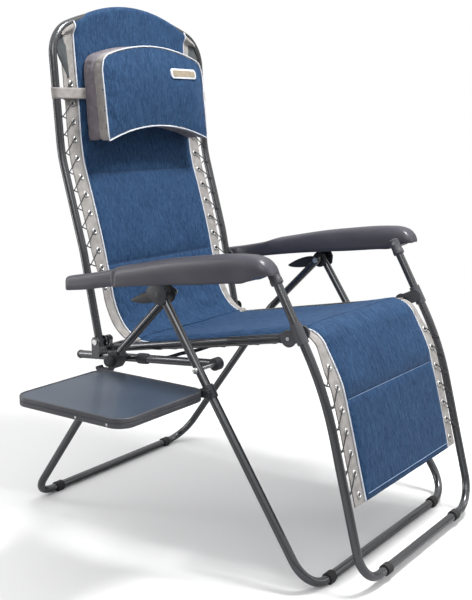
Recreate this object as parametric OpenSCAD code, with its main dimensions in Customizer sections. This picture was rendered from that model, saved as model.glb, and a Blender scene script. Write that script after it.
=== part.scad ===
// Zero gravity recliner with a clip-on side table.
// Origin on the floor under the middle of the bounding box. +Z up, the sitter faces -Y, +X is the sitter's
// left. Millimetres. The chair is laid out about its own middle plane, with the side view in the YZ plane and every
// frame in its own lane in X; placed() then moves it to the origin.

/* [Tubes] */
// outside diameter of the frame tubes
tube_d = 19; // [18:0.5:20]
// wall of the frame tubes
tube_wall = 1.5; // [1.2:0.1:2]

/* [Lanes] */
// half width between the centre lines of the front legs
front_lane = 336; // [334:1:340]
// half width between the centre lines of the rear legs
rear_lane = 304; // [303:1:306]
// half width between the centre lines of back, leg rest and links
back_lane = 274; // [273:1:275]
// half width between the centre lines of the seat rails
seat_lane = 245; // [244:1:246]

/* [Base] */
// height of the leg apex under the armrests
apex_z = 584; // [580:1:588]
// distance from the origin to each floor bar
foot_y = 419; // [410:1:424]

/* [Upper frames] */
// height of the straight part of the back frame, where its top corners begin
back_top_z = 1096; // [1060:1:1110]
// rise of the arched top bar at its middle
arch_turn = 20; // [14:1:24]
// half width of the padded middle of the sling
panel_half = 206; // [196:1:208]
// thickness of the padded sling
panel_t = 12; // [8:1:14]

/* [Side table] */
// width of the table top
table_w = 264; // [220:1:300]
// length of the table top, front to rear
table_l = 302; // [290:1:304]
// height of the table surface
table_z = 400; // [398:1:402]

/* [Hidden] */
$fn = 48;
r = tube_d / 2;
r_in = r - tube_wall;
bolt_r = 4;
run = 0.05;
seam = 0.02;
bar_z = r + 1.5;
apex_y = -44;

// pivots in the side view, as [y, z]
P = [apex_y, apex_z];
M = [-142, 434];
B0 = [203, 438];
arm_step = [29, 140];
Fk = [-316, 510];
Ab = B0 + arm_step;
Af = Fk + arm_step;
J = [105, 438];
front_bar = [-foot_y, bar_z];
rear_bar = [foot_y, bar_z];
link_rear = [262, 398];
cross = [205, 415];

// side-view centre lines
back_path = [[200, 424], [247, 650], [309, 870], [309 + 0.077 * (back_top_z - 870), back_top_z]];
leg_top = [-281, 655];
leg_knee = [-413, 414.5];
leg_foot = [-511, 25];
link_lift = (M[1] - link_rear[1]) / (M[0] - link_rear[0]);

function angle_of(a, b) = atan2(b[1] - a[1], b[0] - a[0]);
function wrap(a) = a > 180 ? a - 360 : (a < -180 ? a + 360 : a);
function unit(a) = [cos(a), sin(a)];
function mix(a, b, t) = a + (b - a) * t;

// points on an arc about c, from angle a0 to a1
function arc(c, rad, a0, a1, n) = [for (i = [0 : n]) c + rad * unit(a0 + (a1 - a0) * i / n)];

// moves the chair so that its bounding box stands on the origin
module placed() {
  translate([(table_w + table_gap) / 2, -(leg_foot[0] + foot_y) / 2, 0]) children();
}

module pair() {
  children();
  mirror([1, 0, 0]) children();
}

// hollow tube along +Z
module tube(len, ro, ri) {
  difference() {
    cylinder(r = ro, h = len);
    translate([0, 0, -1]) cylinder(r = ri, h = len + 2);
  }
}

// hollow tube between two side-view points, at x = 0, a seam short of each end
module side_straight(a, b) {
  translate([0, a[0], a[1]])
    rotate([angle_of(a, b) - 90, 0, 0])
      translate([0, 0, seam]) tube(norm(b - a) - 2 * seam, r, r_in);
}

// bend of a side-view tube with corner v, arriving at angle a1 and leaving at angle a2
module side_bend(v, a1, a2, rad) {
  turn = wrap(a2 - a1);
  side = turn > 0 ? 1 : -1;
  cut = rad * tan(abs(turn) / 2);
  c = v - cut * unit(a1) + side * rad * [-sin(a1), cos(a1)];
  start = turn > 0 ? a1 - 90 : a1 + 90 + turn;
  rotate([90, 0, 90])
    translate([c[0], c[1], 0])
      rotate([0, 0, start])
        rotate_extrude(angle = abs(turn))
          translate([rad, 0]) difference() {
            circle(r = r);
            circle(r = r_in);
          }
}

// bend of a tube lying in a plane: x across, y along, swept about c
module flat_bend(c, rad, start, turn) {
  gap = seam / rad * 180 / PI;
  translate([c[0], c[1], 0])
    rotate([0, 0, start + gap])
      rotate_extrude(angle = turn - 2 * gap)
        translate([rad, 0]) difference() {
          circle(r = r);
          circle(r = r_in);
        }
}

// solid pin along X between x1 and x2, at a side-view point
module xpin(p, rad, x1, x2) {
  translate([x1, p[0], p[1]]) rotate([0, 90, 0]) cylinder(r = rad, h = x2 - x1);
}

// flat ring or disc along X with a bore
module xring(p, ro, ri, x1, x2) {
  difference() {
    xpin(p, ro, x1, x2);
    xpin(p, ri, x1 - 1, x2 + 1);
  }
}

// plate standing in the side view, between x1 and x2
module xplate(pts, x1, x2) {
  translate([x1, 0, 0])
    rotate([90, 0, 90])
      linear_extrude(x2 - x1)
        polygon(pts);
}

// flat bar with round ends at two side-view points
module xbar(a, b, rad, x1, x2) {
  ang = angle_of(a, b);
  xplate(concat(arc(b, rad, ang - 90, ang + 90, 20), arc(a, rad, ang + 90, ang + 270, 20)), x1, x2);
}

// bottom of a U-frame whose legs arrive along angle ang: two corners and the bar
module u_bottom(end_point, ang, half, corner) {
  translate([0, end_point[0], end_point[1]])
    rotate([ang + 180, 0, 0]) {
      pair() flat_bend([half - corner, corner], corner, -90, 90);
      translate([corner - half, 0, 0]) rotate([0, 90, 0]) tube(2 * (half - corner), r, r_in);
    }
}

// ---------- base ----------

leg_corner = 70;
front_ang = angle_of(P, front_bar);
front_top = P + 9 * unit(front_ang + 180);

module front_leg_frame() {
  color("DimGray") placed() difference() {
    union() {
      pair() translate([front_lane, 0, 0])
        side_straight(front_top, front_bar - leg_corner * unit(front_ang));
      u_bottom(front_bar, front_ang, front_lane, leg_corner);
    }
    pair() xpin(P, bolt_r + run, front_lane - 15, front_lane + 15);
    pair() xpin(M, bolt_r + run, front_lane - 15, front_lane + 15);
  }
}

rear_ang = angle_of(J, rear_bar);
brace_ang = angle_of(P, J);
rear_top = P - 9 * unit(brace_ang);
rear_bend = 120;
rear_cut = rear_bend * tan(abs(wrap(rear_ang - brace_ang)) / 2);

module rear_leg_frame() {
  color("DimGray") placed() difference() {
    union() {
      pair() translate([rear_lane, 0, 0]) {
        side_straight(rear_top, J - rear_cut * unit(brace_ang));
        side_bend(J, brace_ang, rear_ang, rear_bend);
        side_straight(J + rear_cut * unit(rear_ang), rear_bar - leg_corner * unit(rear_ang));
      }
      u_bottom(rear_bar, rear_ang, rear_lane, leg_corner);
    }
    pair() xpin(P, bolt_r + run, rear_lane - 15, rear_lane + 15);
  }
}

// clip round a floor bar with a flat sole
module foot_clip(p, x) {
  translate([x - 11, 0, 0])
    rotate([90, 0, 90])
      linear_extrude(22)
        difference() {
          union() {
            translate(p) circle(r = r + 3);
            translate([p[0] - 9, 0]) square([18, p[1]]);
          }
          translate(p) circle(r = r);
          translate([p[0] - 20, -10]) square([40, 10]);
        }
}

module front_foot_clips() {
  color("Black") placed() pair() foot_clip(front_bar, front_lane - 84);
}

module rear_foot_clips() {
  color("Black") placed() pair() foot_clip(rear_bar, rear_lane - 88);
}

module link_front_bolts() {
  color("Silver") placed() pair() {
    xpin(M, bolt_r, back_lane - r - 2, front_lane + r + 1);
    xpin(M, bolt_r + 3, front_lane + r + 1, front_lane + r + 4);
    xpin(M, bolt_r + 3, back_lane - r - 5, back_lane - r - 2);
  }
}

knuckle = [125, 411];

module leg_knuckles() {
  half = 8 * unit(rear_ang);
  color("Black") placed() pair() {
    difference() {
      xbar(knuckle - half, knuckle + half, 15, back_lane + r + 1.5, rear_lane + 15);
      translate([rear_lane, J[0], J[1]])
        rotate([rear_ang - 90, 0, 0])
          translate([0, 0, -60]) cylinder(r = r + seam, h = 200);
    }
    xpin(knuckle, 11, rear_lane + 15 + seam, front_lane - 4);
  }
}

module knuckle_screws() {
  color("Silver") placed() pair() translate([rear_lane + 15, 0, 0])
    xpin(knuckle + 17 * unit(rear_ang), 4, 0, 2.5);
}

// ---------- links ----------

function on_link(y) = [y, M[1] + (y - M[0]) * link_lift];
clevis_gap = r + 2;
plate_t = 3;

module spreader_links() {
  color("DimGray") placed() pair() difference() {
    translate([back_lane, 0, 0]) side_straight(M, link_rear);
    xpin(M, bolt_r + run, back_lane - 15, back_lane + 15);
  }
}

module on_link_at(p) {
  translate([back_lane, p[0], p[1]]) rotate([angle_of(M, link_rear) - 90, 0, 0]) children();
}

module link_end_caps() {
  color("Black") placed() pair() {
    difference() {
      xpin(M, r + 1.5, back_lane - r - 1, back_lane + r + 1);
      xpin(M, bolt_r + run, back_lane - 20, back_lane + 20);
      on_link_at(M) cylinder(r = r + seam, h = 40);
    }
    on_link_at(link_rear) difference() {
      sphere(r = r);
      translate([-20, -20, -40]) cube([40, 40, 40]);
    }
  }
}

module back_clevises() {
  foot = on_link(B0[0]) + [0, r];
  color("DimGray") placed() pair() {
    for (side = [-1, 1])
      difference() {
        translate([back_lane + side * (clevis_gap + plate_t / 2), 0, 0])
          xbar(B0, foot + [0, -4], 12, -plate_t / 2, plate_t / 2);
        xpin(B0, bolt_r + run, back_lane - 30, back_lane + 30);
      }
    difference() {
      translate([back_lane - clevis_gap, foot[0] - 12, foot[1] - 3]) cube([2 * clevis_gap, 24, 5]);
      on_link_at(M) cylinder(r = r + seam, h = 420);
    }
  }
}

strap_y = 66;

module leg_strap() {
  c = on_link(strap_y);
  color("Black") placed() {
    pair() on_link_at(c) translate([0, 0, -10]) tube(20, r + 1.6, r + run);
    translate([r + 1.5 - back_lane, strap_y - 10, c[1] - 10]) cube([2 * (back_lane - r - 1.5), 20, 2]);
  }
}

// ---------- lock ----------

lock_x1 = rear_lane + r + 0.8;
lock_x2 = front_lane - r - 0.8;
lever_pivot = P + [15, -3];

module lock_bolts() {
  color("Silver") placed() pair() {
    xpin(P, bolt_r, rear_lane - r - 1, front_lane + r + 1);
    xpin(P, bolt_r + 3, rear_lane - r - 3, rear_lane - r - 1);
    xpin(P, bolt_r + 3, front_lane + r + 1, front_lane + r + 2.6);
  }
}

module lock_housings() {
  color("Black") placed() pair() {
    difference() {
      xpin(P, 18, lock_x1, lock_x1 + 3);
      xpin(P, bolt_r, lock_x1 - 1, lock_x2 + 1);
    }
    xpin(lever_pivot, 3, lock_x1 + 3, lock_x2 - 0.4);
  }
}

module lever() {
  pts = concat(
    arc(lever_pivot, 8, 110, 250, 12),
    [lever_pivot + [16, -19], lever_pivot + [50, -30], lever_pivot + [81, -27], lever_pivot + [85, -22]],
    [lever_pivot + [60, -9], lever_pivot + [18, 6]]
  );
  difference() {
    xplate(pts, lock_x1 + 3.4, lock_x2 - 0.4);
    xpin(lever_pivot, 3 + run, lock_x1, lock_x2);
  }
}

module lever_left() {
  color("DimGray") placed() lever();
}

module lever_right() {
  color("DimGray") placed() mirror([1, 0, 0]) lever();
}

// ---------- seat ----------

seat_pitch = angle_of(cross, Fk);

module seat_pivot_bolts() {
  color("Silver") placed() pair() {
    xpin(B0, bolt_r, seat_lane - r + 2, back_lane + clevis_gap + plate_t + 0.5);
    xpin(B0, bolt_r + 3, back_lane + clevis_gap + plate_t + 0.5, back_lane + clevis_gap + plate_t + 3);
    xpin(B0, bolt_r + 3, seat_lane - r - 1, seat_lane - r + 2);
  }
}

module seat_frame() {
  color("DimGray") placed() {
    // rails, coped to the rear cross tube
    pair() difference() {
      translate([seat_lane, 0, 0]) side_straight(cross + (r - 2) * unit(seat_pitch), Fk);
      xpin(Fk, bolt_r + run, seat_lane - 15, seat_lane + 15);
      xpin(cross, r + seam, seat_lane - 20, seat_lane + 20);
    }
    // welded pivot tabs standing on the cross tube
    pair() difference() {
      xbar(B0, cross + [0, 2], 10, seat_lane - r + 3, seat_lane + r - 3);
      xpin(B0, bolt_r + run, seat_lane - 15, seat_lane + 15);
      xpin(cross, r + seam, seat_lane - 20, seat_lane + 20);
      translate([seat_lane, cross[0], cross[1]])
        rotate([seat_pitch - 90, 0, 0]) cylinder(r = r + seam, h = 60);
      translate([seat_lane - 20, cross[0] - 20, cross[1] - 20]) cube([40, 40, 20]);
    }
    translate([-seat_lane - r, cross[0], cross[1]]) rotate([0, 90, 0]) tube(2 * (seat_lane + r), r, r_in);
  }
}

module seat_front_lugs() {
  color("Black") placed() pair() difference() {
    translate([seat_lane, Fk[0], Fk[1]])
      rotate([seat_pitch - 90, 0, 0])
        translate([0, 0, -28]) tube(42, r + 1.5, r + run);
    xpin(Fk, bolt_r + run, seat_lane - 15, seat_lane + 15);
  }
}

seat_line = [[124, 440], [-93, 476], [-316, 519]];
corner_c = [128, 532];
corner_r = 92;
knee_c = [-328, 476];
knee_r = 45;
back_line = [[222, 537], [247, 650], [278, 760], [309, 870], [319, 1000], [327, 1090], [331, 1146]];
leg_line = [[-370, 493], [-407, 425], [-424, 371], [-473, 176]];

// closed band along a side-view line, as thick as twice the given step
function band(line, step) = concat(
  [for (p = line) p - step],
  [for (i = [len(line) - 1 : -1 : 0]) line[i] + step]
);

// closed curved band about c
function curved(c, rad, t, a0, a1) = concat(
  arc(c, rad + t / 2, a0, a1, 12),
  arc(c, rad - t / 2, a1, a0, 12)
);

strip_x1 = panel_half + 0.5;
strip_x2 = seat_lane - r - 1.5;
strip_t = 3;

module strips(line, dir) {
  pair() xplate(band(line, strip_t / 2 * dir), strip_x1, strip_x2);
}

module seat_panel() {
  color("SteelBlue") placed() xplate(band(seat_line, panel_t / 2 * [0, 1]), -panel_half, panel_half);
}

module seat_side_strips() {
  color("LightGray") placed() strips(seat_line, [0, 1]);
}

module corner_sling() {
  color("SteelBlue") placed() xplate(curved(corner_c, corner_r, panel_t, -3, -88), -strip_x2, strip_x2);
}

module knee_sling() {
  color("SteelBlue") placed() xplate(curved(knee_c, knee_r, panel_t, 84, 149), -strip_x2, strip_x2);
}

// ---------- back ----------

bush_r = 6.5;
back_bend = 300;
back_last = angle_of(back_path[2], back_path[3]);

module back_bushings() {
  color("Black") placed() pair() xring(B0, bush_r, bolt_r + run, back_lane - r - 0.8, back_lane + r + 0.8);
}

// straight pieces and bends along a side-view centre line
module side_path(path, rad) {
  last = len(path) - 1;
  ang = [for (i = [0 : last - 1]) angle_of(path[i], path[i + 1])];
  cut = [for (i = [0 : last]) i == 0 || i == last ? 0 : rad * tan(abs(wrap(ang[i] - ang[i - 1])) / 2)];
  for (i = [0 : last - 1])
    side_straight(path[i] + cut[i] * unit(ang[i]), path[i + 1] - cut[i + 1] * unit(ang[i]));
  for (i = [1 : last - 1])
    side_bend(path[i], ang[i - 1], ang[i], rad);
}

top_corner = 80;
arch_x = back_lane - top_corner * (1 - sin(arch_turn));
arch_r = arch_x / sin(arch_turn);
arch_c = [0, top_corner * cos(arch_turn) - arch_r * cos(arch_turn)];

module in_back_top() {
  translate([0, back_path[3][0], back_path[3][1]]) rotate([back_last, 0, 0]) children();
}

module back_frame() {
  color("DimGray") placed() difference() {
    union() {
      pair() translate([back_lane, 0, 0]) side_path(back_path, back_bend);
      in_back_top() {
        pair() flat_bend([back_lane - top_corner, 0], top_corner, 0, 90 - arch_turn);
        flat_bend(arch_c, arch_r, 90 - arch_turn, 2 * arch_turn);
      }
    }
    pair() xpin(B0, bush_r + run, back_lane - 15, back_lane + 15);
    pair() xpin(Ab, bolt_r + run, back_lane - 15, back_lane + 15);
  }
}

module back_panel() {
  color("SteelBlue") placed() xplate(band(back_line, panel_t / 2 * [1, 0]), -panel_half, panel_half);
}

module back_side_strips() {
  short_line = [for (p = back_line) if (p[1] < 1120) p];
  color("LightGray") placed() strips(short_line, [1, 0]);
}

module top_sleeve() {
  color("SteelBlue") placed() in_back_top()
    translate([arch_c[0], arch_c[1], 0])
      rotate([0, 0, 90 - arch_turn + 1])
        rotate_extrude(angle = 2 * arch_turn - 2)
          translate([arch_r, 0]) difference() {
            circle(r = r + 2.5);
            circle(r = r + 0.1);
          }
}

// point on a side-view line at height z
function at_z(line, z, i = 0) =
  (line[i][1] - z) * (line[i + 1][1] - z) <= 0 || i == len(line) - 2
    ? mix(line[i], line[i + 1], (z - line[i][1]) / (line[i + 1][1] - line[i][1]))
    : at_z(line, z, i + 1);

eyelet_r = 5;
cord_r = 1.6;
back_zs = [for (i = [0 : 11]) 560 + 43 * i];
leg_zs = [for (i = [0 : 6]) 196 + 43 * i];
eyelet_x = strip_x2 - 9;

module eyelets(line, zs, lift) {
  pair() for (z = zs) {
    p = at_z(line, z);
    translate([eyelet_x, p[0] - lift, p[1]]) rotate([90, 0, 0]) difference() {
      cylinder(r = eyelet_r, h = 1);
      translate([0, 0, -1]) cylinder(r = 2.5, h = 3);
    }
  }
}

// short cords from the strip edge towards the frame tube, one per eyelet
module lacing(line, zs) {
  x1 = strip_x2 + 1;
  x2 = back_lane - r - 1;
  pair() for (z = zs) xpin(at_z(line, z), cord_r, x1, x2);
}

module back_eyelets() {
  color("Silver") placed() eyelets(back_line, back_zs, strip_t / 2 + 2.2);
}

module back_lacing() {
  color("Black") placed() lacing(back_line, back_zs);
}

// ---------- head pillow ----------

pillow_w = 376;
pillow_low = 914;
pillow_high = 1092;

function pillow_back(z) = at_z(back_line, z)[0] - panel_t / 2 - 2;

module head_pillow() {
  color("SteelBlue") placed() xplate([
    [pillow_back(pillow_low), pillow_low],
    [pillow_back(pillow_high), pillow_high],
    [pillow_back(pillow_high) - 48, pillow_high - 2],
    [pillow_back(pillow_low) - 62, pillow_low - 2]
  ], -pillow_w / 2, pillow_w / 2);
}

strap_z = 1012;

module pillow_strap() {
  p = at_z(back_path, strap_z);
  half = back_lane + r + 3;
  front = p[0] - r - 3.5;
  start = pillow_w / 2 + 0.1;
  color("DimGray") placed() pair() {
    translate([start, front, strap_z - 12]) cube([half - start, 1.6, 24]);
    translate([half, front, strap_z - 12]) cube([1.6, p[0] + r + 6 - front, 24]);
    translate([0, p[0] + r + 6, strap_z - 12]) cube([half + 1.6, 1.6, 24]);
  }
}

module pillow_badge() {
  z = 1060;
  color("DimGray") placed() translate([100, pillow_back(z) - 56, z]) cube([60, 2, 14], center = true);
}

// ---------- leg rest ----------

leg_ang1 = angle_of(leg_top, leg_knee);
leg_ang2 = angle_of(leg_knee, leg_foot);
leg_bend = 700;
lug_at = leg_top + 146 * unit(leg_ang1);

module knee_bolts() {
  color("Silver") placed() pair() {
    xpin(Fk, bolt_r, seat_lane - r - 3, back_lane - r - 1);
    xpin(Fk, bolt_r + 3, seat_lane - r - 6, seat_lane - r - 3);
  }
}

module legrest_frame() {
  leg_end = leg_foot - leg_corner * unit(leg_ang2);
  color("DimGray") placed() difference() {
    union() {
      pair() translate([back_lane, 0, 0]) side_path([leg_top, leg_knee, leg_end], leg_bend);
      u_bottom(leg_foot, leg_ang2, back_lane, leg_corner);
    }
    pair() xpin(Af, bolt_r + 0.5, back_lane - 15, back_lane + 15);
  }
}

module on_leg_top(at) {
  translate([back_lane, at[0], at[1]]) rotate([leg_ang1 - 90, 0, 0]) children();
}

module knee_lugs() {
  x1 = seat_lane + r + 1.8;
  x2 = back_lane - r - 3 - seam;
  color("Black") placed() pair() {
    difference() {
      xbar(Fk, lug_at, 15, x1, x2);
      xpin(Fk, bolt_r + run, x1 - 1, x2 + 1);
    }
    on_leg_top(lug_at) translate([0, 0, -22]) tube(44, r + 3, r + run);
  }
}

module armrest_collars() {
  color("Black") placed() pair() difference() {
    on_leg_top(leg_top) translate([0, 0, -4]) cylinder(r = r + 3, h = 40);
    on_leg_top(leg_top) cylinder(r = r, h = 60);
    xpin(Af, bolt_r + 0.5, back_lane - 15, back_lane + 15);
  }
}

module legrest_foot_clips() {
  color("Black") placed() pair() translate([back_lane - 110, leg_foot[0], leg_foot[1]])
    rotate([0, 90, 0]) tube(20, r + 3, r);
}

module legrest_panel() {
  color("SteelBlue") placed() xplate(band(leg_line, panel_t / 2 * [1, 0]), -panel_half, panel_half);
}

module legrest_side_strips() {
  color("LightGray") placed() strips(leg_line, [1, 0]);
}

module legrest_eyelets() {
  color("Silver") placed() eyelets(leg_line, leg_zs, strip_t / 2 + 3.5);
}

module legrest_lacing() {
  color("Black") placed() lacing(leg_line, leg_zs);
}

// ---------- armrests ----------

arm_x1 = back_lane + r + 4.5;
arm_x2 = front_lane + r + 6.5;
arm_skin = 3;
arm_top = [[250, 596], [196, 606], [94, 628], [27, 643], [-60, 660], [-133, 671], [-200, 680], [-250, 684],
  [-290, 682], [-325, 674], [-350, 660], [-362, 643]];
arm_bottom = [[-356, 638], [-340, 643], [-318, 646], [-292, 640], [-270, 632], [-226, 629], [-140, 617],
  [-66, 609], [30, 597], [120, 583], [190, 570], [250, 562]];

module armrest() {
  narrow = 24;
  difference() {
    xplate(concat(arm_top, arm_bottom), arm_x1, arm_x2);
    // open channel under the middle, where the tops of the legs and the lock run
    xplate([[52, 560], [52, 628], [-60, 650], [-133, 661], [-200, 669], [-242, 672], [-242, 600]],
      arm_x1 + arm_skin, arm_x2 - arm_skin);
    // the rear part is narrower than the middle
    xplate([[300, 500], [300, 700], [60, 700], [60, 500]], arm_x2 - narrow, arm_x2 + 1);
    xpin(Ab, bolt_r + run, arm_x1 - 1, arm_x1 + 20);
    xpin(Af, bolt_r, arm_x1 - 1, arm_x1 + 19);
  }
}

module armrest_left() {
  color("SlateGray") placed() armrest();
}

module armrest_right() {
  color("SlateGray") placed() mirror([1, 0, 0]) armrest();
}

module armrest_pivot_bolts() {
  color("Silver") placed() pair() {
    xpin(Ab, bolt_r, back_lane - r - 1, arm_x1 + 19);
    xpin(Ab, bolt_r + 3, back_lane - r - 4, back_lane - r - 1);
  }
}

module armrest_front_pins() {
  color("Silver") placed() pair() xpin(Af, bolt_r, back_lane - r - 4, arm_x1 + 19);
}

// ---------- side table ----------

table_gap = 1.5;
table_x = -(arm_x2 + table_gap);
table_y = -180;
rim = 4;
table_t = 20;

// rounded rectangle, x from 0 to -w and y from 0 to l
module tray(w, l, corner, h) {
  linear_extrude(h)
    union() {
      translate([-w + corner, 0]) square([w - 2 * corner, l]);
      translate([-w, corner]) square([w, l - 2 * corner]);
      for (x = [-corner, -w + corner], y = [corner, l - corner]) translate([x, y]) circle(r = corner);
    }
}

module table_rim() {
  color("Black") placed() translate([table_x, table_y, table_z - table_t]) difference() {
    tray(table_w, table_l, 28, table_t);
    translate([-rim, rim, 3]) tray(table_w - 2 * rim, table_l - 2 * rim, 24, table_t);
  }
}

module table_top() {
  color("SlateGray") placed() translate([table_x - rim - 0.2, table_y + rim + 0.2, table_z - table_t + 3])
    tray(table_w - 2 * rim - 0.4, table_l - 2 * rim - 0.4, 23.8, table_t - 4);
}

clamp_z = table_z - table_t / 2;
clamp_y = front_bar[0] + (clamp_z - bar_z) * (P[0] - front_bar[0]) / (P[1] - bar_z);

module table_front_clamp() {
  color("Black") placed() difference() {
    translate([table_x, clamp_y - 15, clamp_z - 8]) cube([-table_x - front_lane, 30, 16]);
    translate([-front_lane, P[0], P[1]]) rotate([front_ang - 90, 0, 0]) cylinder(r = r + 0.4, h = 600);
  }
}

module table_rear_hook() {
  color("Black") placed() translate([table_x, knuckle[0] - 16, clamp_z + 5]) cube([24, 30, 3]);
}

module table_screws() {
  color("Silver") placed() for (y = [60, 240])
    translate([table_x - 20, table_y + y, table_z - table_t - 2]) cylinder(r = 4, h = 2);
}

front_leg_frame();
front_foot_clips();
link_front_bolts();
rear_leg_frame();
rear_foot_clips();
leg_knuckles();
knuckle_screws();
spreader_links();
link_end_caps();
back_clevises();
leg_strap();
lock_bolts();
lock_housings();
lever_left();
lever_right();
seat_pivot_bolts();
seat_frame();
seat_front_lugs();
seat_panel();
seat_side_strips();
corner_sling();
back_bushings();
back_frame();
back_panel();
back_side_strips();
back_eyelets();
back_lacing();
top_sleeve();
head_pillow();
pillow_strap();
pillow_badge();
knee_bolts();
legrest_frame();
knee_lugs();
armrest_collars();
legrest_foot_clips();
legrest_panel();
legrest_side_strips();
legrest_eyelets();
legrest_lacing();
knee_sling();
armrest_pivot_bolts();
armrest_left();
armrest_right();
armrest_front_pins();
table_top();
table_rim();
table_front_clamp();
table_rear_hook();
table_screws();
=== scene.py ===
"""Looks of the folding zero gravity recliner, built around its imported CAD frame. Metres throughout."""
import math

import bmesh
import bpy
import numpy as np
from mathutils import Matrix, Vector


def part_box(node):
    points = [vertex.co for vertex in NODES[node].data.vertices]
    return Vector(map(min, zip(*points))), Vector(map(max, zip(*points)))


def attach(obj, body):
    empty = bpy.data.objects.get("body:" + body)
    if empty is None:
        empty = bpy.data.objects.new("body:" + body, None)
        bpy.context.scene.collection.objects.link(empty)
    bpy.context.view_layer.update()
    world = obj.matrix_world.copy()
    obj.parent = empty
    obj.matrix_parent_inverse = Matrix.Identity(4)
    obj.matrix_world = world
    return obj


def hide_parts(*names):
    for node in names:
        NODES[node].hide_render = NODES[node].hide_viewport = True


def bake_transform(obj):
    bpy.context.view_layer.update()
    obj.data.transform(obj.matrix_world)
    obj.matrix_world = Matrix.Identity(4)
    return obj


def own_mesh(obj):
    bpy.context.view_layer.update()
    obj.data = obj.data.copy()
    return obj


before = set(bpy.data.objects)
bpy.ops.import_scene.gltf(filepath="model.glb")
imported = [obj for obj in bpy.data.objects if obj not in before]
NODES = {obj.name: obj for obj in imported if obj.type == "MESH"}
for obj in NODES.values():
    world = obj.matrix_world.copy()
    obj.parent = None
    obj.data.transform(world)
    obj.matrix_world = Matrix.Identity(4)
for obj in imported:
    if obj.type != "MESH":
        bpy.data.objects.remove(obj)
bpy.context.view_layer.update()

MM = 0.001
SIDES = (-1, 1)
# the chair's own middle: every piece is laid out from here, on the floor midway between the floor bars
ORIGIN = np.array([sum(c[0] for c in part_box("back_frame")) / 2,
                   (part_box("front_leg_frame")[0][1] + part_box("rear_leg_frame")[1][1]) / 2, 0.0])


def box(node):
    return [np.array(corner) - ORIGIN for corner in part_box(node)]


# ---------------------------------------------------------------- materials


def feed(tree, node, **values):
    """Sets a node's properties and inputs by name; a socket among the values is linked to the input."""
    for key, value in values.items():
        if isinstance(value, bpy.types.NodeSocket):
            tree.links.new(value, node.inputs[key.replace("_", " ")])
        elif hasattr(node, key):
            setattr(node, key, value)
        else:
            node.inputs[key.replace("_", " ")].default_value = value
    return node


def add(tree, kind, **values):
    return feed(tree, tree.nodes.new("ShaderNode" + kind), **values)


def ramp(tree, source, stops):
    """Colour ramp fed by source; stops are (position, colour) pairs."""
    made = add(tree, "ValToRGB", Fac=source)
    elements = made.color_ramp.elements
    while len(elements) < len(stops):
        elements.new(0.5)
    for element, (position, colour) in zip(elements, stops):
        element.position = position
        element.color = (*colour, 1)
    return made.outputs["Color"]


def two_tone(tree, source, dark, light):
    return ramp(tree, source, [(0.3, dark), (0.7, light)])


def mapped(tree, scale=(1, 1, 1), attribute=None):
    """Coordinates to lay a pattern on: the piece's own cloth coordinates, or its place in the frame."""
    if attribute:
        source = add(tree, "Attribute", attribute_name=attribute).outputs["Vector"]
    else:
        source = add(tree, "TexCoord").outputs["Object"]
    return add(tree, "Mapping", Scale=scale, Vector=source).outputs["Vector"]


def noise_of(tree, vector, scale, detail=3.0, distortion=0.0):
    made = add(tree, "TexNoise", Scale=scale, Detail=detail, Distortion=distortion, Vector=vector)
    return made.outputs["Fac"]


def bumped(tree, *layers):
    """Chain of bump nodes from (height, strength, distance) layers."""
    made = None
    for height, strength, distance in layers:
        under = {"Normal": made.outputs["Normal"]} if made else {}
        made = add(tree, "Bump", Strength=strength, Distance=distance, Height=height, **under)
    return made.outputs["Normal"]


def ranged(tree, source, low, high):
    return add(tree, "MapRange", To_Min=low, To_Max=high, Value=source).outputs["Result"]


def start_material(name, **values):
    material = bpy.data.materials.new(name)
    material.use_nodes = True
    tree = material.node_tree
    return material, tree, feed(tree, tree.nodes["Principled BSDF"], **values)


def blue_fabric():
    """Padded outdoor cloth: long wavy crinkles down the sling over a fine weave, with a soft sheen; painted
    light on the crinkles' crests and painted shade in their troughs.
    """
    material, tree, shader = start_material(
        "blue_fabric", Roughness=0.82, Sheen_Weight=0.12, Sheen_Roughness=0.4, Specular_IOR_Level=0.25,
        Sheen_Tint=(0.55, 0.68, 1.0, 1))
    cloth = mapped(tree, attribute="cloth")
    streaks = noise_of(tree, mapped(tree, (420, 60, 1), "cloth"), 1.0, 2.5, 1.3)
    fine = noise_of(tree, mapped(tree, (900, 240, 1), "cloth"), 1.0, 2.0)
    patches = noise_of(tree, cloth, 14.0, 2.0)
    weave = add(tree, "TexWave", Scale=420.0, Distortion=0.4, bands_direction="Y", Vector=cloth)
    mix = add(tree, "Mix", data_type="RGBA", blend_type="MULTIPLY")
    mix.inputs["Factor"].default_value = 1.0
    # painted light and shade: the ramp on the streaks noise, which also raises the bump, lightens the
    # crinkles' crests and darkens their troughs
    tree.links.new(ramp(tree, streaks, [(0.3, (0.006, 0.026, 0.074)), (0.48, (0.014, 0.048, 0.118)),
                                        (0.7, (0.036, 0.092, 0.190))]), mix.inputs[6])
    tree.links.new(two_tone(tree, patches, (0.86, 0.88, 0.9), (1.08, 1.06, 1.04)), mix.inputs[7])
    normal = bumped(tree, (streaks, 0.55, 0.0012), (fine, 0.35, 0.0004), (weave.outputs["Fac"], 0.15, 0.0002))
    feed(tree, shader, Base_Color=mix.outputs[2], Roughness=ranged(tree, streaks, 0.9, 0.72), Normal=normal)
    return material


def woven_tape(name, dark, light):
    """Flat woven tape with fine ribs across and a little soiling."""
    material, tree, shader = start_material(name, Roughness=0.85, Sheen_Weight=0.2, Specular_IOR_Level=0.3)
    place = mapped(tree)
    ribs = add(tree, "TexWave", Scale=900.0 / 6.3, Distortion=0.8, bands_direction="DIAGONAL", Vector=place)
    grain = noise_of(tree, place, 900.0, 2.0)
    feed(tree, shader, Base_Color=two_tone(tree, noise_of(tree, place, 60.0, 4.0), dark, light),
         Normal=bumped(tree, (ribs.outputs["Fac"], 0.25, 0.0003), (grain, 0.4, 0.0003)))
    return material


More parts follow.
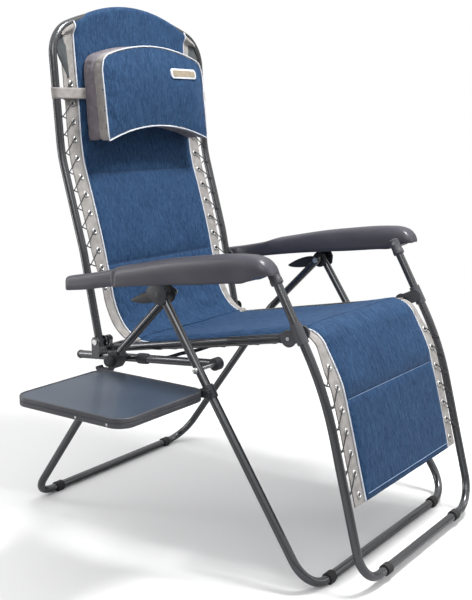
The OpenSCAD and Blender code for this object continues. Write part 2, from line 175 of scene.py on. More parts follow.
def frame_paint():
    """Anthracite metallic powder coat: small flakes, orange peel and scuffs."""
    material, tree, shader = start_material(
        "frame_paint", Metallic=0.9, Roughness=0.25, Coat_Weight=0.5, Coat_Roughness=0.08)
    place = mapped(tree)
    flakes = noise_of(tree, place, 1800.0, 1.0)
    feed(tree, shader,
         Base_Color=ramp(tree, flakes, [(0.35, (0.075, 0.077, 0.081)), (0.7, (0.155, 0.157, 0.164))]),
         Roughness=ranged(tree, noise_of(tree, place, 35.0, 5.0, 0.3), 0.17, 0.32),
         Normal=bumped(tree, (noise_of(tree, place, 420.0, 2.0), 0.12, 0.0003)))
    return material


def moulded(name, dark, light, roughness):
    """Injection-moulded plastic with a fine spark-eroded grain and faint flow marks."""
    material, tree, shader = start_material(name, Specular_IOR_Level=0.5)
    flow = noise_of(tree, mapped(tree, (1, 0.35, 1)), 22.0, 4.0, 0.4)
    feed(tree, shader, Base_Color=two_tone(tree, flow, dark, light),
         Roughness=ranged(tree, flow, roughness - 0.07, roughness + 0.07),
         Normal=bumped(tree, (noise_of(tree, mapped(tree), 1400.0, 2.0), 0.3, 0.0002)))
    return material


def zinc_steel():
    """Bright zinc-plated steel with fine turning marks."""
    material, tree, shader = start_material("zinc_steel", Metallic=1.0)
    patina = noise_of(tree, mapped(tree), 120.0, 4.0)
    feed(tree, shader, Base_Color=two_tone(tree, patina, (0.66, 0.66, 0.65), (0.88, 0.88, 0.86)),
         Roughness=ranged(tree, patina, 0.2, 0.4),
         Normal=bumped(tree, (noise_of(tree, mapped(tree, (1, 6, 6)), 500.0, 2.0), 0.2, 0.0002)))
    return material


def table_laminate():
    """Slate-blue satin laminate with a fine leather grain."""
    material, tree, shader = start_material("table_laminate", Coat_Weight=0.15)
    cells = add(tree, "TexVoronoi", Scale=700.0, Vector=mapped(tree))
    cloud = noise_of(tree, mapped(tree), 9.0, 3.0)
    feed(tree, shader, Base_Color=two_tone(tree, cloud, (0.046, 0.060, 0.084), (0.060, 0.078, 0.106)),
         Roughness=ranged(tree, cloud, 0.27, 0.37),
         Normal=bumped(tree, (cells.outputs["Distance"], 0.15, 0.0002)))
    return material


def mixed(tree, share, first, second):
    """Mix of two shader outputs."""
    blend = add(tree, "MixShader", Fac=share)
    tree.links.new(first, blend.inputs[1])
    tree.links.new(second, blend.inputs[2])
    return blend.outputs["Shader"]


def floor_paint():
    """White paper floor that runs out into the white background; it throws little light back up."""
    material, tree, shader = start_material("studio_floor", Roughness=0.95, Specular_IOR_Level=0.1)
    tone = ramp(tree, noise_of(tree, mapped(tree), 2.0), [(0.0, (0.95,) * 3), (1.0, (0.96,) * 3)])
    feed(tree, shader, Base_Color=tone)
    far = add(tree, "VectorMath", operation="LENGTH")
    tree.links.new(mapped(tree), far.inputs[0])
    fade = add(tree, "MapRange", interpolation_type="SMOOTHSTEP", From_Min=0.9, From_Max=2.2,
               Value=far.outputs["Value"])
    glow = add(tree, "Emission", Color=(1, 1, 1, 1), Strength=1.0)
    shown = mixed(tree, fade.outputs["Result"], shader.outputs["BSDF"], glow.outputs["Emission"])
    dim = add(tree, "BsdfDiffuse", Color=(0.42, 0.42, 0.43, 1))
    seen = add(tree, "LightPath").outputs["Is Camera Ray"]
    feed(tree, tree.nodes["Material Output"], Surface=mixed(tree, seen, dim.outputs["BSDF"], shown))
    return material


BLUE = blue_fabric()
PALE_TAPE = woven_tape("grey_tape", (0.25, 0.235, 0.22), (0.37, 0.35, 0.335))
PIPING = woven_tape("pale_piping", (0.56, 0.60, 0.66), (0.74, 0.76, 0.80))
TAUPE = woven_tape("taupe_cloth", (0.155, 0.135, 0.155), (0.215, 0.19, 0.215))
# the neck strap's own pale cloth, also used as painted light on the front band of the pillow's taupe sides
PALE_STRAP_AND_LIT_SIDE = woven_tape("pale_strap_and_painted_light", (0.27, 0.25, 0.24), (0.36, 0.335, 0.32))
BEIGE = woven_tape("badge_cloth", (0.27, 0.22, 0.15), (0.36, 0.30, 0.22))
LINING = woven_tape("dark_lining", (0.045, 0.052, 0.055), (0.075, 0.085, 0.088))
BLACK_TAPE = woven_tape("black_webbing", (0.02, 0.02, 0.022), (0.04, 0.04, 0.043))
ELASTIC = woven_tape("elastic_cord", (0.018, 0.018, 0.02), (0.045, 0.045, 0.05))
STITCH = woven_tape("stitching", (0.16, 0.25, 0.42), (0.24, 0.34, 0.52))
# painted shade: a thread darker than the cloth, laid in the back's seam grooves
BACK_SEAM_SHADE = woven_tape("painted_seam_shade", (0.006, 0.016, 0.045), (0.010, 0.026, 0.065))
PAINT = frame_paint()
ARM_PLASTIC = moulded("arm_plastic", (0.052, 0.050, 0.064), (0.070, 0.068, 0.084), 0.33)
BLACK_PLASTIC = moulded("black_plastic", (0.020, 0.021, 0.025), (0.038, 0.039, 0.045), 0.42)
DARK_PLASTIC = moulded("dark_plastic", (0.055, 0.056, 0.064), (0.085, 0.086, 0.095), 0.40)
RUBBER = moulded("sole_rubber", (0.022, 0.022, 0.023), (0.04, 0.04, 0.042), 0.75)
ZINC = zinc_steel()
LAMINATE = table_laminate()

# ---------------------------------------------------------------- mesh helpers


def make_piece(name, verts, faces, material):
    """New smooth mesh object, moved from the chair's frame to the row's, with its normals outward."""
    mesh = bpy.data.meshes.new(name)
    mesh.from_pydata([tuple(v) for v in np.asarray(verts, float) + ORIGIN], [], [tuple(f) for f in faces])
    mesh.validate()
    shape = bmesh.new()
    shape.from_mesh(mesh)
    bmesh.ops.recalc_face_normals(shape, faces=shape.faces)
    shape.to_mesh(mesh)
    shape.free()
    mesh.shade_smooth()
    mesh.materials.append(material)
    piece = bpy.data.objects.new(name, mesh)
    bpy.context.scene.collection.objects.link(piece)
    return piece


def join(name, pieces):
    """One object from several; shared materials keep one slot each."""
    bpy.ops.object.select_all(action="DESELECT")
    for piece in pieces:
        piece.select_set(True)
    bpy.context.view_layer.objects.active = pieces[0]
    if len(pieces) > 1:
        bpy.ops.object.join()
    pieces[0].name = name
    return pieces[0]


def sharpen(piece, degrees):
    """Keeps edges above an angle crisp under smooth shading."""
    piece.data.set_sharp_from_angle(angle=math.radians(degrees))
    return piece


def skin(name, rings, material, closed=False):
    """Closed solid through rings of equal length; closed joins the last ring to the first."""
    count, sides = len(rings), len(rings[0])
    faces = []
    for i in range(count if closed else count - 1):
        a, b = i * sides, ((i + 1) % count) * sides
        faces += [(a + k, a + (k + 1) % sides, b + (k + 1) % sides, b + k) for k in range(sides)]
    if not closed:
        faces += [tuple(range(sides)), tuple(range((count - 1) * sides, count * sides))]
    return make_piece(name, np.concatenate(rings), faces, material)


def sweep(name, points, radius, material, sides=10, closed=False):
    """Round bar along a polyline; radius may be one value or one per point."""
    path = np.array(points, float)
    tangent = np.roll(path, -1, 0) - np.roll(path, 1, 0) if closed else np.gradient(path, axis=0)
    tangent = unit_rows(tangent)
    side = np.cross(tangent[0], (0.31, 0.2, 0.93))
    rings = []
    angles = np.linspace(0, 2 * math.pi, sides, endpoint=False)
    for centre, along, rad in zip(path, tangent, np.broadcast_to(np.asarray(radius, float), (len(path),))):
        side = unit(side - side.dot(along) * along)
        up = np.cross(along, side)
        rings.append(centre + rad * (np.outer(np.cos(angles), side) + np.outer(np.sin(angles), up)))
    return skin(name, rings, material, closed)


def grid_faces(rows, cols):
    index = np.arange(rows * cols).reshape(rows, cols)
    corners = [index[:-1, :-1], index[1:, :-1], index[1:, 1:], index[:-1, 1:]]
    return index, np.stack(corners, -1).reshape(-1, 4)


def slab(name, front, back, material):
    """Closed sheet between two grids of points of the same shape."""
    index, quads = grid_faces(*front.shape[:2])
    total = index.size
    rim = [*index[0], *index[1:, -1], *index[-1, -2::-1], *index[-2:0:-1, 0]]
    walls = [(a, b, b + total, a + total) for a, b in zip(rim, rim[1:] + rim[:1])]
    verts = np.concatenate([front.reshape(-1, 3), back.reshape(-1, 3)])
    return make_piece(name, verts, [*quads, *(quads[:, ::-1] + total), *walls], material)


def sheet(name, middle, off, material):
    """Thin sheet about a grid of points in millimetres; off is half its thickness, as a vector."""
    return slab(name, (middle + off) * MM, (middle - off) * MM, material)


def lay_cloth(piece, coords):
    """Stores cloth coordinates, in metres across and along, for the weave."""
    layer = piece.data.attributes.new("cloth", "FLOAT_VECTOR", "POINT")
    layer.data.foreach_set("vector", np.asarray(coords, np.float32).ravel())


def lattice_noise(x, y, seed):
    """Smooth random heights between -1 and 1 on a plane, about one per unit."""
    table = np.random.RandomState(seed).uniform(-1, 1, (256, 256))
    xi, yi = np.floor(x).astype(int), np.floor(y).astype(int)
    fx, fy = smoothstep(x - xi), smoothstep(y - yi)
    corner = [[table[(xi + i) % 256, (yi + j) % 256] for j in (0, 1)] for i in (0, 1)]
    low = corner[0][0] * (1 - fx) + corner[1][0] * fx
    high = corner[0][1] * (1 - fx) + corner[1][1] * fx
    return low * (1 - fy) + high * fy


def smoothstep(t):
    t = np.clip(t, 0, 1)
    return t * t * (3 - 2 * t)


def unit(v):
    return v / np.linalg.norm(v)


def unit_rows(rows):
    return rows / np.linalg.norm(rows, axis=1)[:, None]


def running_length(points):
    return np.r_[0, np.cumsum(np.linalg.norm(np.diff(points, axis=0), axis=1))]


def catmull(points, spacing):
    """Evenly spaced points on a smooth curve through the given ones."""
    p = np.array(points, float)
    p = np.vstack([2 * p[0] - p[1], p, 2 * p[-1] - p[-2]])
    dense = []
    for a, b, c, d in zip(p[:-3], p[1:-2], p[2:-1], p[3:]):
        t = np.linspace(0, 1, 24, endpoint=False)[:, None]
        dense.append(0.5 * (2 * b + (c - a) * t + (2 * a - 5 * b + 4 * c - d) * t ** 2
                            + (3 * b - a - 3 * c + d) * t ** 3))
    dense = np.vstack(dense + [p[-2][None]])
    steps = running_length(dense)
    wanted = np.linspace(0, steps[-1], max(2, int(round(steps[-1] / spacing)) + 1))
    return np.stack([np.interp(wanted, steps, dense[:, k]) for k in range(p.shape[1])], 1)


def fit_circle(points):
    """Centre and radius of the circle that best fits plane points."""
    p = np.asarray(points)
    rows = np.c_[2 * p, np.ones(len(p))]
    a, b, c = np.linalg.lstsq(rows, (p ** 2).sum(1), rcond=None)[0]
    return np.array([a, b]), math.sqrt(c + a * a + b * b)


def verts_of(node):
    return np.array([v.co for v in NODES[node].data.vertices], float) - ORIGIN


# ---------------------------------------------------------------- the sling's side view

STEP = 3.5 * MM
CROSS_STEP = 2.6 * MM
TUBE_R = 9.5 * MM
PANEL_HALF = box("back_panel")[1][0]
STRIP_OUT = box("back_side_strips")[1][0]
BACK_LANE = box("back_bushings")[1][0] - 10.3 * MM


def centre_line(node, axis):
    """Middle line of a CAD sheet in the side view as (y, z) points, sorted along axis 1 (y) or 2 (z)."""
    co = verts_of(node)
    co = co[co[:, 0] > co[:, 0].max() - 1e-5]
    keys = np.unique(np.round(co[:, axis], 5))
    return np.array([co[np.abs(co[:, axis] - k) < 1e-4][:, 1:].mean(0) for k in keys])


def corner_curve(a_line, b_line, pull):
    """Bezier curve that leaves the end of a_line and joins the start of b_line, both tangentially."""
    start, end = a_line[-1], b_line[0]
    leave, arrive = start + unit(start - a_line[-2]) * pull, end - unit(b_line[1] - end) * pull
    t = np.linspace(0, 1, 16)[1:-1, None]
    return (1 - t) ** 3 * start + 3 * t * (1 - t) ** 2 * leave + 3 * t * t * (1 - t) * arrive + t ** 3 * end


back_line = centre_line("back_panel", 2)[::-1]
seat_line = centre_line("seat_panel", 1)[::-1]
leg_line = centre_line("legrest_panel", 2)[::-1]
PATH = catmull(np.vstack([back_line, corner_curve(back_line, seat_line, 52 * MM), seat_line,
                          corner_curve(seat_line, leg_line, 22 * MM), leg_line]), STEP)
ALONG = running_length(PATH)
TANGENT = unit_rows(np.gradient(PATH, axis=0))
# towards the sitter: the path runs down the back, forward along the seat and down the leg rest
NORMAL = np.stack([TANGENT[:, 1], -TANGENT[:, 0]], 1)


def nearest(y, z):
    """Distance along the sling of the path point closest to (y, z)."""
    return ALONG[np.argmin(((PATH - (y, z)) ** 2).sum(1))]


def on_path(s):
    """Side-view points and normals at distances s along the sling."""
    return [np.stack([np.interp(s, ALONG, rows[:, k]) for k in (0, 1)], -1) for rows in (PATH, NORMAL)]


def lift(u, s, height):
    """Points at u across, s along and height off the sling's middle surface."""
    point, normal = on_path(s)
    out = point + normal * np.asarray(height)[..., None]
    return np.concatenate([np.broadcast_to(u, s.shape)[..., None], out], -1)


# places along the sling, each given by a point of the side view
S_BACK_SEAM = nearest(PATH[:, 0].max(), 0.813)
S_LOW_SEAM = nearest(0.24, 0.608)
S_CORNER_TOP = nearest(0.214, 0.515)
S_MID_CORNER = nearest(0.193, 0.467)
S_SEAT_SEAM = nearest(0.115, 0.441)
S_KNEE_REAR = nearest(-0.290, 0.514)
S_KNEE_CREST = nearest(-0.350, 0.512)
S_KNEE_FOLD = nearest(-0.374, 0.490)
S_LEG_SEAM = nearest(-0.42, 0.384)
S_HEM = ALONG[-1]
SEAM_EDGES = np.array([-0.12, S_BACK_SEAM, S_LOW_SEAM, S_SEAT_SEAM, S_LEG_SEAM, S_HEM])

# the arched top bar, measured up the back's last straight from the path's first point
TOP_UP = -unit(TANGENT[0])
TOP_OUT = NORMAL[0]
sleeve = verts_of("top_sleeve")
ARCH_CENTRE, ARCH_R = fit_circle(np.c_[sleeve[:, 0], (sleeve[:, 1:] - PATH[0]) @ TOP_UP])
ARCH_OFF = ((sleeve[:, 1:] - PATH[0]) @ TOP_OUT).mean()
CORNER_R = 80 * MM
CORNER_X = BACK_LANE - CORNER_R
slope = math.asin(min(1, CORNER_X / (ARCH_R - CORNER_R)))
CORNER_UP = ARCH_CENTRE[1] + (ARCH_R - CORNER_R) * math.cos(slope)
SLEEVE_R = TUBE_R + 2.2 * MM


def bar_height(x):
    """Height of the top bar's centre line above the path's first point."""
    x = np.abs(x)
    arch = ARCH_CENTRE[1] + np.sqrt(np.maximum(ARCH_R ** 2 - x ** 2, 0))
    corner = CORNER_UP + np.sqrt(np.maximum(CORNER_R ** 2 - (x - CORNER_X) ** 2, 0))
    return np.where(x < CORNER_X + CORNER_R * math.sin(slope), arch, corner)


# ---------------------------------------------------------------- the sling's parts

# each part: name, start and end along the sling, and the bodies it follows: one that it rides on, or the
# two that it lies between, with the places where the bend starts and ends
SPANS = [
    ("back", 0.0, S_LOW_SEAM, ("back",)),
    ("corner_high", S_LOW_SEAM, S_MID_CORNER, ("bushings", "back", S_MID_CORNER, S_CORNER_TOP)),
    ("corner_low", S_MID_CORNER, S_SEAT_SEAM, ("seat", "bushings", S_SEAT_SEAM, S_MID_CORNER)),
    ("seat", S_SEAT_SEAM, S_KNEE_REAR, ("seat",)),
    ("knee_rear", S_KNEE_REAR, S_KNEE_CREST, ("seat", "knee", S_KNEE_REAR, S_KNEE_CREST)),
    ("knee_front", S_KNEE_CREST, S_KNEE_FOLD, ("knee", "legrest", S_KNEE_CREST, S_KNEE_FOLD)),
    ("legrest", S_KNEE_FOLD, S_HEM, ("legrest",)),
]
SAG = 7 * MM


def seam_distance(s):
    """Distance to the closest seam, and the share of the way between the two seams around s."""
    i = np.clip(np.searchsorted(SEAM_EDGES, s) - 1, 0, len(SEAM_EDGES) - 2)
    low, high = SEAM_EDGES[i], SEAM_EDGES[i + 1]
    return np.minimum(np.abs(s - low), np.abs(high - s)), (s - low) / (high - low)


def sag_at(u, s):
    """How far the sling hangs below its side edges."""
    def between(start, rise, end, fall):
        return smoothstep((s - start) / rise) * (1 - smoothstep((s - end) / fall))

    seat_share = between(S_MID_CORNER, 0.12, S_KNEE_REAR - 0.1, 0.16)
    back_share = between(0.05, 0.15, S_LOW_SEAM, 0.15)
    edge_share = between(S_SEAT_SEAM - 0.06, 0.08, S_KNEE_REAR - 0.02, 0.05)
    across = 1 - (u / STRIP_OUT) ** 2
    edge = smoothstep((np.abs(u) - 0.176) / 0.058) * 19 * MM * edge_share
    return -np.maximum(across, 0) * (SAG * seat_share + 0.6 * SAG * back_share) - edge


def tape_reach(u, s):
    """The side tapes widen towards the tubes along the back and down the leg rest."""
    share = (np.abs(u) - PANEL_HALF) / (STRIP_OUT - PANEL_HALF)
    wide = 1 - smoothstep((s - S_LOW_SEAM + 0.04) / 0.10) + smoothstep((s - S_KNEE_FOLD + 0.01) / 0.07)
    return u + np.sign(u) * 13 * MM * np.clip(share, 0, 1) * wide


def crinkle(u, s):
    """Raised wavy lines down the cloth."""
    warp = lattice_noise(u / 0.03, s / 0.05, 5) * 0.006 + lattice_noise(u / 0.012, s / 0.03, 6) * 0.002
    fine = lattice_noise((u - warp) / 0.0042, s / 0.025, 8)
    return lattice_noise((u + warp) / 0.0065, s / 0.042, 7) + 0.5 * fine


def wrinkles(u, s):
    """Broad soft folds: dimples beside the seams and pulls in the corner and at the knee."""
    near_seam, _ = seam_distance(s)
    pulls = lattice_noise(u / 0.028, s / 0.05, 11) * np.exp(-near_seam / 0.022) * 1.6
    corner = np.exp(-((s - S_MID_CORNER) / 0.09) ** 2)
    folds = lattice_noise(u / 0.07 + s / 0.09, s / 0.035 - u / 0.12, 12) * corner * 3.2
    seat = np.exp(-((s - 0.5 * (S_SEAT_SEAM + S_KNEE_REAR)) / 0.16) ** 2)
    drag = lattice_noise(s / 0.09 + u / 0.3, u / 0.035 + s / 0.2, 13) * seat * 1.4
    return (pulls + folds + drag + lattice_noise(u / 0.09, s / 0.11, 14)) * MM


def front_height(u, s):
    """Padding on the sitter's side of the middle surface."""
    near_seam, share = seam_distance(s)
    edge = np.clip((PANEL_HALF - np.abs(u)) / 0.022, 0, 1)
    crown = np.sqrt(1 - (1 - edge) ** 2)
    quilt = np.clip(near_seam / 0.03, 0, 1)
    belly = np.sin(math.pi * np.clip(share, 0, 1)) ** 0.5
    puff = 1.2 * MM + (4.2 * MM + 2.6 * MM * belly) * np.sqrt(1 - (1 - quilt) ** 2)
    detail = np.minimum(edge * 1.4, 1) * (0.35 + 0.65 * quilt)
    return 2.0 * MM + puff * crown + detail * (crinkle(u, s) * 0.42 * MM + wrinkles(u, s))


def back_height(u, s):
    """The lining on the far side lies almost flat."""
    edge = np.clip((PANEL_HALF - np.abs(u)) / 0.03, 0, 1)
    return (0.8 * lattice_noise(u / 0.05, s / 0.07, 21) - 2.0 - 2.4 * np.sqrt(1 - (1 - edge) ** 2)) * MM


def strip_front(u, s):
    """The side tapes are thin and pucker a little between eyelets."""
    return 1.3 * MM + 0.5 * MM * lattice_noise(u / 0.02, s / 0.03, 31)


def strip_back(u, s):
    return strip_front(u, s) - 2.6 * MM


def top_wrap(u, front, back):
    """Offsets and heights that carry a sheet from its back face, over the arched bar, to its front face."""
    height = bar_height(u)

    def rise(near, far):
        return [(near * (1 - smoothstep(t)) + far * smoothstep(t), height * t)
                for t in np.linspace(0, 1, 26)[1:-1]]

    turn = [(ARCH_OFF + SLEEVE_R * math.sin(a) + 0 * u, height + SLEEVE_R * math.cos(a))
            for a in np.linspace(-0.5 * math.pi, 0.5 * math.pi, 15)]
    return rise(back, ARCH_OFF - SLEEVE_R) + turn + rise(front, ARCH_OFF + SLEEVE_R)[::-1]


def bands(name, u_values, front_of, back_of, material, rows, wrap):
    """Closed strip of cloth over the span's rows; the first span is carried over the top bar."""
    u, s = np.meshgrid(u_values, np.r_[rows[0] - STEP, rows, rows[-1] + STEP])
    u = tape_reach(u, s)
    front = lift(u, s, front_of(u, s) + sag_at(u, s))
    back = lift(u, s, back_of(u, s) + sag_at(u, s))
    coords = np.stack([u, s, 0 * s], -1)
    if not wrap:
        piece = slab(name, front[1:-1], back[1:-1], material)
        lay_cloth(piece, np.concatenate([coords[1:-1].reshape(-1, 3)] * 2))
        smooth_across_cuts(piece, [grid_normals(front)[1:-1], grid_normals(back)[1:-1]])
        return piece
    u, s, front, back, coords = u[1:], s[1:], front[1:], back[1:], coords[1:]
    loop = top_wrap(u[0], front_of(u[0], s[0]), back_of(u[0], s[0]))
    over, over_coords = [], []
    for k, (off, height) in enumerate(loop):
        detail = crinkle(u[0], 0.4 * (k < len(loop) // 2) - height) * 0.4 * MM
        outward = np.where(k > len(loop) // 2 - 4, 1.0, -0.3)
        yz = PATH[0] + np.outer(off + detail * outward, TOP_OUT) + np.outer(height, TOP_UP)
        over.append(np.c_[u[0], yz])
        over_coords.append(np.stack([u[0], -height, 0 * height], -1))
    rows_all = np.concatenate([back[::-1], np.array(over), front])
    coords_all = np.concatenate([coords[::-1], np.array(over_coords), coords])
    piece = closed_fold(name, rows_all[1:-1], coords_all[1:-1], material)
    smooth_across_cuts(piece, [grid_normals(rows_all)[1:-1]])
    return piece


def grid_normals(grid):
    """Unit normals of a grid of points."""
    normal = np.cross(np.gradient(grid, axis=0), np.gradient(grid, axis=1))
    return normal / np.maximum(np.linalg.norm(normal, axis=2), 1e-12)[..., None]


def smooth_across_cuts(piece, grids):
    """Shades a part as if the sheet ran on past its ends, so the cuts between parts don't show."""
    normals = np.concatenate([g.reshape(-1, 3) for g in grids])
    own = np.array([v.normal for v in piece.data.vertices])
    normals *= np.where((normals * own).sum(1) < 0, -1, 1)[:, None]
    piece.data.normals_split_custom_set_from_vertices([tuple(n) for n in normals])


def closed_fold(name, rows, coords, material):
    """A sheet folded over a bar: one grid whose two long side edges are closed by facing caps."""
    count, cols = rows.shape[:2]
    index, quads = grid_faces(count, cols)
    faces = [*quads]
    half = count // 2
    for column in (0, cols - 1):
        edge = index[:, column]
        faces += [(edge[k], edge[k + 1], edge[count - 2 - k], edge[count - 1 - k]) for k in range(half - 1)]
        if count % 2:
            faces.append((edge[half - 1], edge[half], edge[half + 1]))
    faces += [(index[0, j], index[0, j + 1], index[-1, j + 1], index[-1, j]) for j in range(cols - 1)]
    piece = make_piece(name, rows.reshape(-1, 3), faces, material)
    lay_cloth(piece, coords.reshape(-1, 3))
    return piece


def follow(piece, bodies, replaced=()):
    """Attaches a sling part to its body, or fixes it where it lies between two; hides the CAD parts it stands
    for.
    """
    if replaced:
        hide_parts(*replaced)
    if len(bodies) == 1:
        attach(piece, bodies[0])
        return
    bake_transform(piece)


REPLACED = {"back": ("back_panel", "top_sleeve", "corner_sling"), "seat": ("seat_panel",),
            "legrest": ("legrest_panel", "knee_sling")}
# lines along the seams, a dark thread on the back as painted shade in the seam grooves and pale stitching on
# the leg rest: place along the sling, and height over the cloth in millimetres
THREADS = {"back": ((S_BACK_SEAM, -0.1), (S_LOW_SEAM, -0.1)),
           "legrest": ((S_LEG_SEAM, -0.1), (S_HEM - 0.014, 0.1))}


def build_sling():
    panel_u = np.linspace(-PANEL_HALF, PANEL_HALF, int(round(2 * PANEL_HALF / CROSS_STEP)) + 1)
    for name, s0, s1, bodies in SPANS:
        rows = np.linspace(s0, s1, max(2, int(round((s1 - s0) / STEP)) + 1))
        top = name == "back"
        panel = bands(name + "_cloth", panel_u, front_height, back_height, BLUE, rows, top)
        follow(panel, bodies, REPLACED.get(name))
        tapes, cords = [], []
        for side in SIDES:
            u_values = side * np.linspace(PANEL_HALF - 1 * MM, STRIP_OUT, 9)
            tapes.append(bands("tape", u_values, strip_front, strip_back, PALE_TAPE, rows, top))
            u = np.full(len(rows), side * (PANEL_HALF + 0.4 * MM))
            points = lift(u, rows, 3.2 * MM + sag_at(u, rows))
            if top:
                points = np.vstack([piping_over_bar(u[0]), points])
            cords.append(sweep("piping", points, 2.1 * MM, PIPING, 8))
        for s, off in THREADS.get(name, ()):
            u = panel_u[4:-4]
            along = np.full(len(u), s)
            points = lift(u, along, front_height(u, along) + sag_at(u, along) + off * MM)
            # on the back the dark thread is painted shade in the seam groove; on the leg rest it is the pale
            # stitching
            cords.append(sweep("thread", points, 1.0 * MM, BACK_SEAM_SHADE if top else STITCH, 6))
        follow(join(name + "_side_tapes", tapes), bodies,
               (name + "_side_strips",) if name in REPLACED else ())
        follow(join(name + "_piping", cords), bodies)


def piping_over_bar(x):
    """The piping's run from behind the top bar to the front face."""
    height = float(bar_height(x))
    reach = SLEEVE_R + 1.2 * MM
    points = [(ARCH_OFF + reach * math.sin(a), height + reach * math.cos(a))
              for a in np.linspace(-0.35 * math.pi, 0.5 * math.pi, 9)]
    points += [(3.2 * MM * (1 - smoothstep(t)) + (ARCH_OFF + reach) * smoothstep(t), height * t)
               for t in np.linspace(0.95, 0.05, 12)]
    return np.array([[x, *(PATH[0] + off * TOP_OUT + up * TOP_UP)] for off, up in points])


build_sling()

# ---------------------------------------------------------------- shapes along and about X

# side-view points and lanes, in millimetres: the tubes of the back, leg rest and links run at SIDE_LANE
LOCK_PIVOT, LEVER_PIVOT = (-44, 584), (-29, 581)
LINK_FRONT, LINK_REAR = np.array((-142, 434.0)), np.array((262, 398.0))
ALONG_LINK = unit(LINK_REAR - LINK_FRONT)
FRONT_FOOT = np.array((-419, 11.0))
REST_TOP, REST_BEND = np.array((-281, 655.0)), np.array((-413, 414.5))
SIDE_LANE = 274


def loft(name, rings, material, degrees=40):
    """Closed solid through rings of equal length, in millimetres."""
    return sharpen(skin(name, [ring * MM for ring in rings], material), degrees)


def lathe(name, y, z, x, profile, material, sides=40):
    """Turned solid about an X axis at (y, z); profile is (distance out from x, radius) in millimetres."""
    side = 1 if x > 0 else -1
    angles = np.linspace(0, 2 * math.pi, sides, endpoint=False)
    return loft(name, [np.c_[np.full(sides, x + side * a), y + r * np.cos(angles), z + r * np.sin(angles)]
                       for a, r in profile], material, 30)


def blade(name, outline, x1, x2, material, edge):
    """Plate standing in the side view, x1 to x2, with its rims rounded over by edge; millimetres."""
    shape = np.array(outline, float)
    if np.sum(shape[:, 0] * np.roll(shape[:, 1], -1) - shape[:, 1] * np.roll(shape[:, 0], -1)) < 0:
        shape = shape[::-1]
    ahead, behind = np.roll(shape, -1, 0) - shape, shape - np.roll(shape, 1, 0)
    along = unit_rows(unit_rows(ahead) + unit_rows(behind))
    inward = np.stack([-along[:, 1], along[:, 0]], 1)
    low, high = min(x1, x2), max(x1, x2)
    steps = [(low, edge), (low + 0.3 * edge, 0.3 * edge), (low + edge, 0), (high - edge, 0),
             (high - 0.3 * edge, 0.3 * edge), (high, edge)]
    rings = [np.c_[np.full(len(shape), x), shape + inward * inset] for x, inset in steps]
    return loft(name, rings, material, 35)


def rounded_outline(x0, x1, y0, y1, corner, count):
    """Rectangle with rounded corners, count points to each."""
    x0, x1, y0, y1 = x0 + corner, x1 - corner, y0 + corner, y1 - corner
    return np.array([(cx + corner * math.cos(a), cy + corner * math.sin(a))
                     for cx, cy, start in ((x1, y1, 0), (x0, y1, 90), (x0, y0, 180), (x1, y0, 270))
                     for a in np.radians(np.linspace(start, start + 90, count))])


def sleeve_along(name, x, at, run, stations, material, sides, degrees=30):
    """Turned sleeve on a side tube: (distance along run, radius) stations about a side-view point."""
    points = np.array([(x, *(at + run * a)) for a, _ in stations]) * MM
    return sharpen(sweep(name, points, [r * MM for _, r in stations], material, sides), degrees)


def dome_bolt(name, y, z, x, reach, radius):
    """Dome-headed bolt with a socket, seated at x and standing reach proud."""
    profile = [(-1, radius), (0, radius), (reach * 0.45, radius * 0.96), (reach * 0.8, radius * 0.78),
               (reach, radius * 0.5), (reach, radius * 0.42), (reach - 1.0, radius * 0.40)]
    return lathe(name, y, z, x, profile, ZINC, 28)


def place(name, pieces, body, slot, *replaced):
    """Joins pieces, attaches them to a body, and hides the CAD nodes they stand in for."""
    piece = join(name, pieces)
    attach(piece, body)
    if replaced:
        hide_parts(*replaced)
    return piece


# ---------------------------------------------------------------- carried-over frame parts

CARRIED = {
    "front_leg_frame": PAINT, "rear_leg_frame": PAINT, "spreader_links": PAINT, "back_clevises": PAINT,
    "seat_frame": PAINT, "back_frame": PAINT, "legrest_frame": PAINT,
    "front_foot_clips": RUBBER, "rear_foot_clips": RUBBER, "legrest_foot_clips": RUBBER,
    "leg_knuckles": BLACK_PLASTIC, "seat_front_lugs": BLACK_PLASTIC, "back_bushings": BLACK_PLASTIC,
    "knee_lugs": DARK_PLASTIC, "lock_bolts": ZINC, "seat_pivot_bolts": ZINC, "knee_bolts": ZINC,
    "knuckle_screws": ZINC, "armrest_pivot_bolts": ZINC, "armrest_front_pins": ZINC, "table_screws": ZINC,
    "link_front_bolts": ZINC,
}
# swept tubes and turned pins have no rims to round
PLAIN = ("front_leg_frame", "rear_leg_frame", "spreader_links", "seat_frame", "back_frame", "legrest_frame",
         "back_bushings", "armrest_front_pins")


def dress_frame():
    for node, material in CARRIED.items():
        piece = NODES[node]
        piece.data.materials.clear()
        piece.data.materials.append(material)
        if node not in PLAIN:
            rounding = piece.modifiers.new("rounded rims", "BEVEL")
            rounding.width = 0.6 * MM
            rounding.segments = 2
            rounding.limit_method = "ANGLE"
            rounding.angle_limit = math.radians(40)


dress_frame()

# ---------------------------------------------------------------- head pillow

PILLOW_HALF = 188.0
CORNER_DEPTH = 0.44  # share of the depth at the side walls' crease; ahead of it the taupe cloth is painted pale as painted light


def pillow_planes(z):
    """Depths of the pillow's front seam and of its back seam, at height z in millimetres."""
    share = (z - 906) / 182
    return 235 + 19 * share, 305 + 13.5 * share


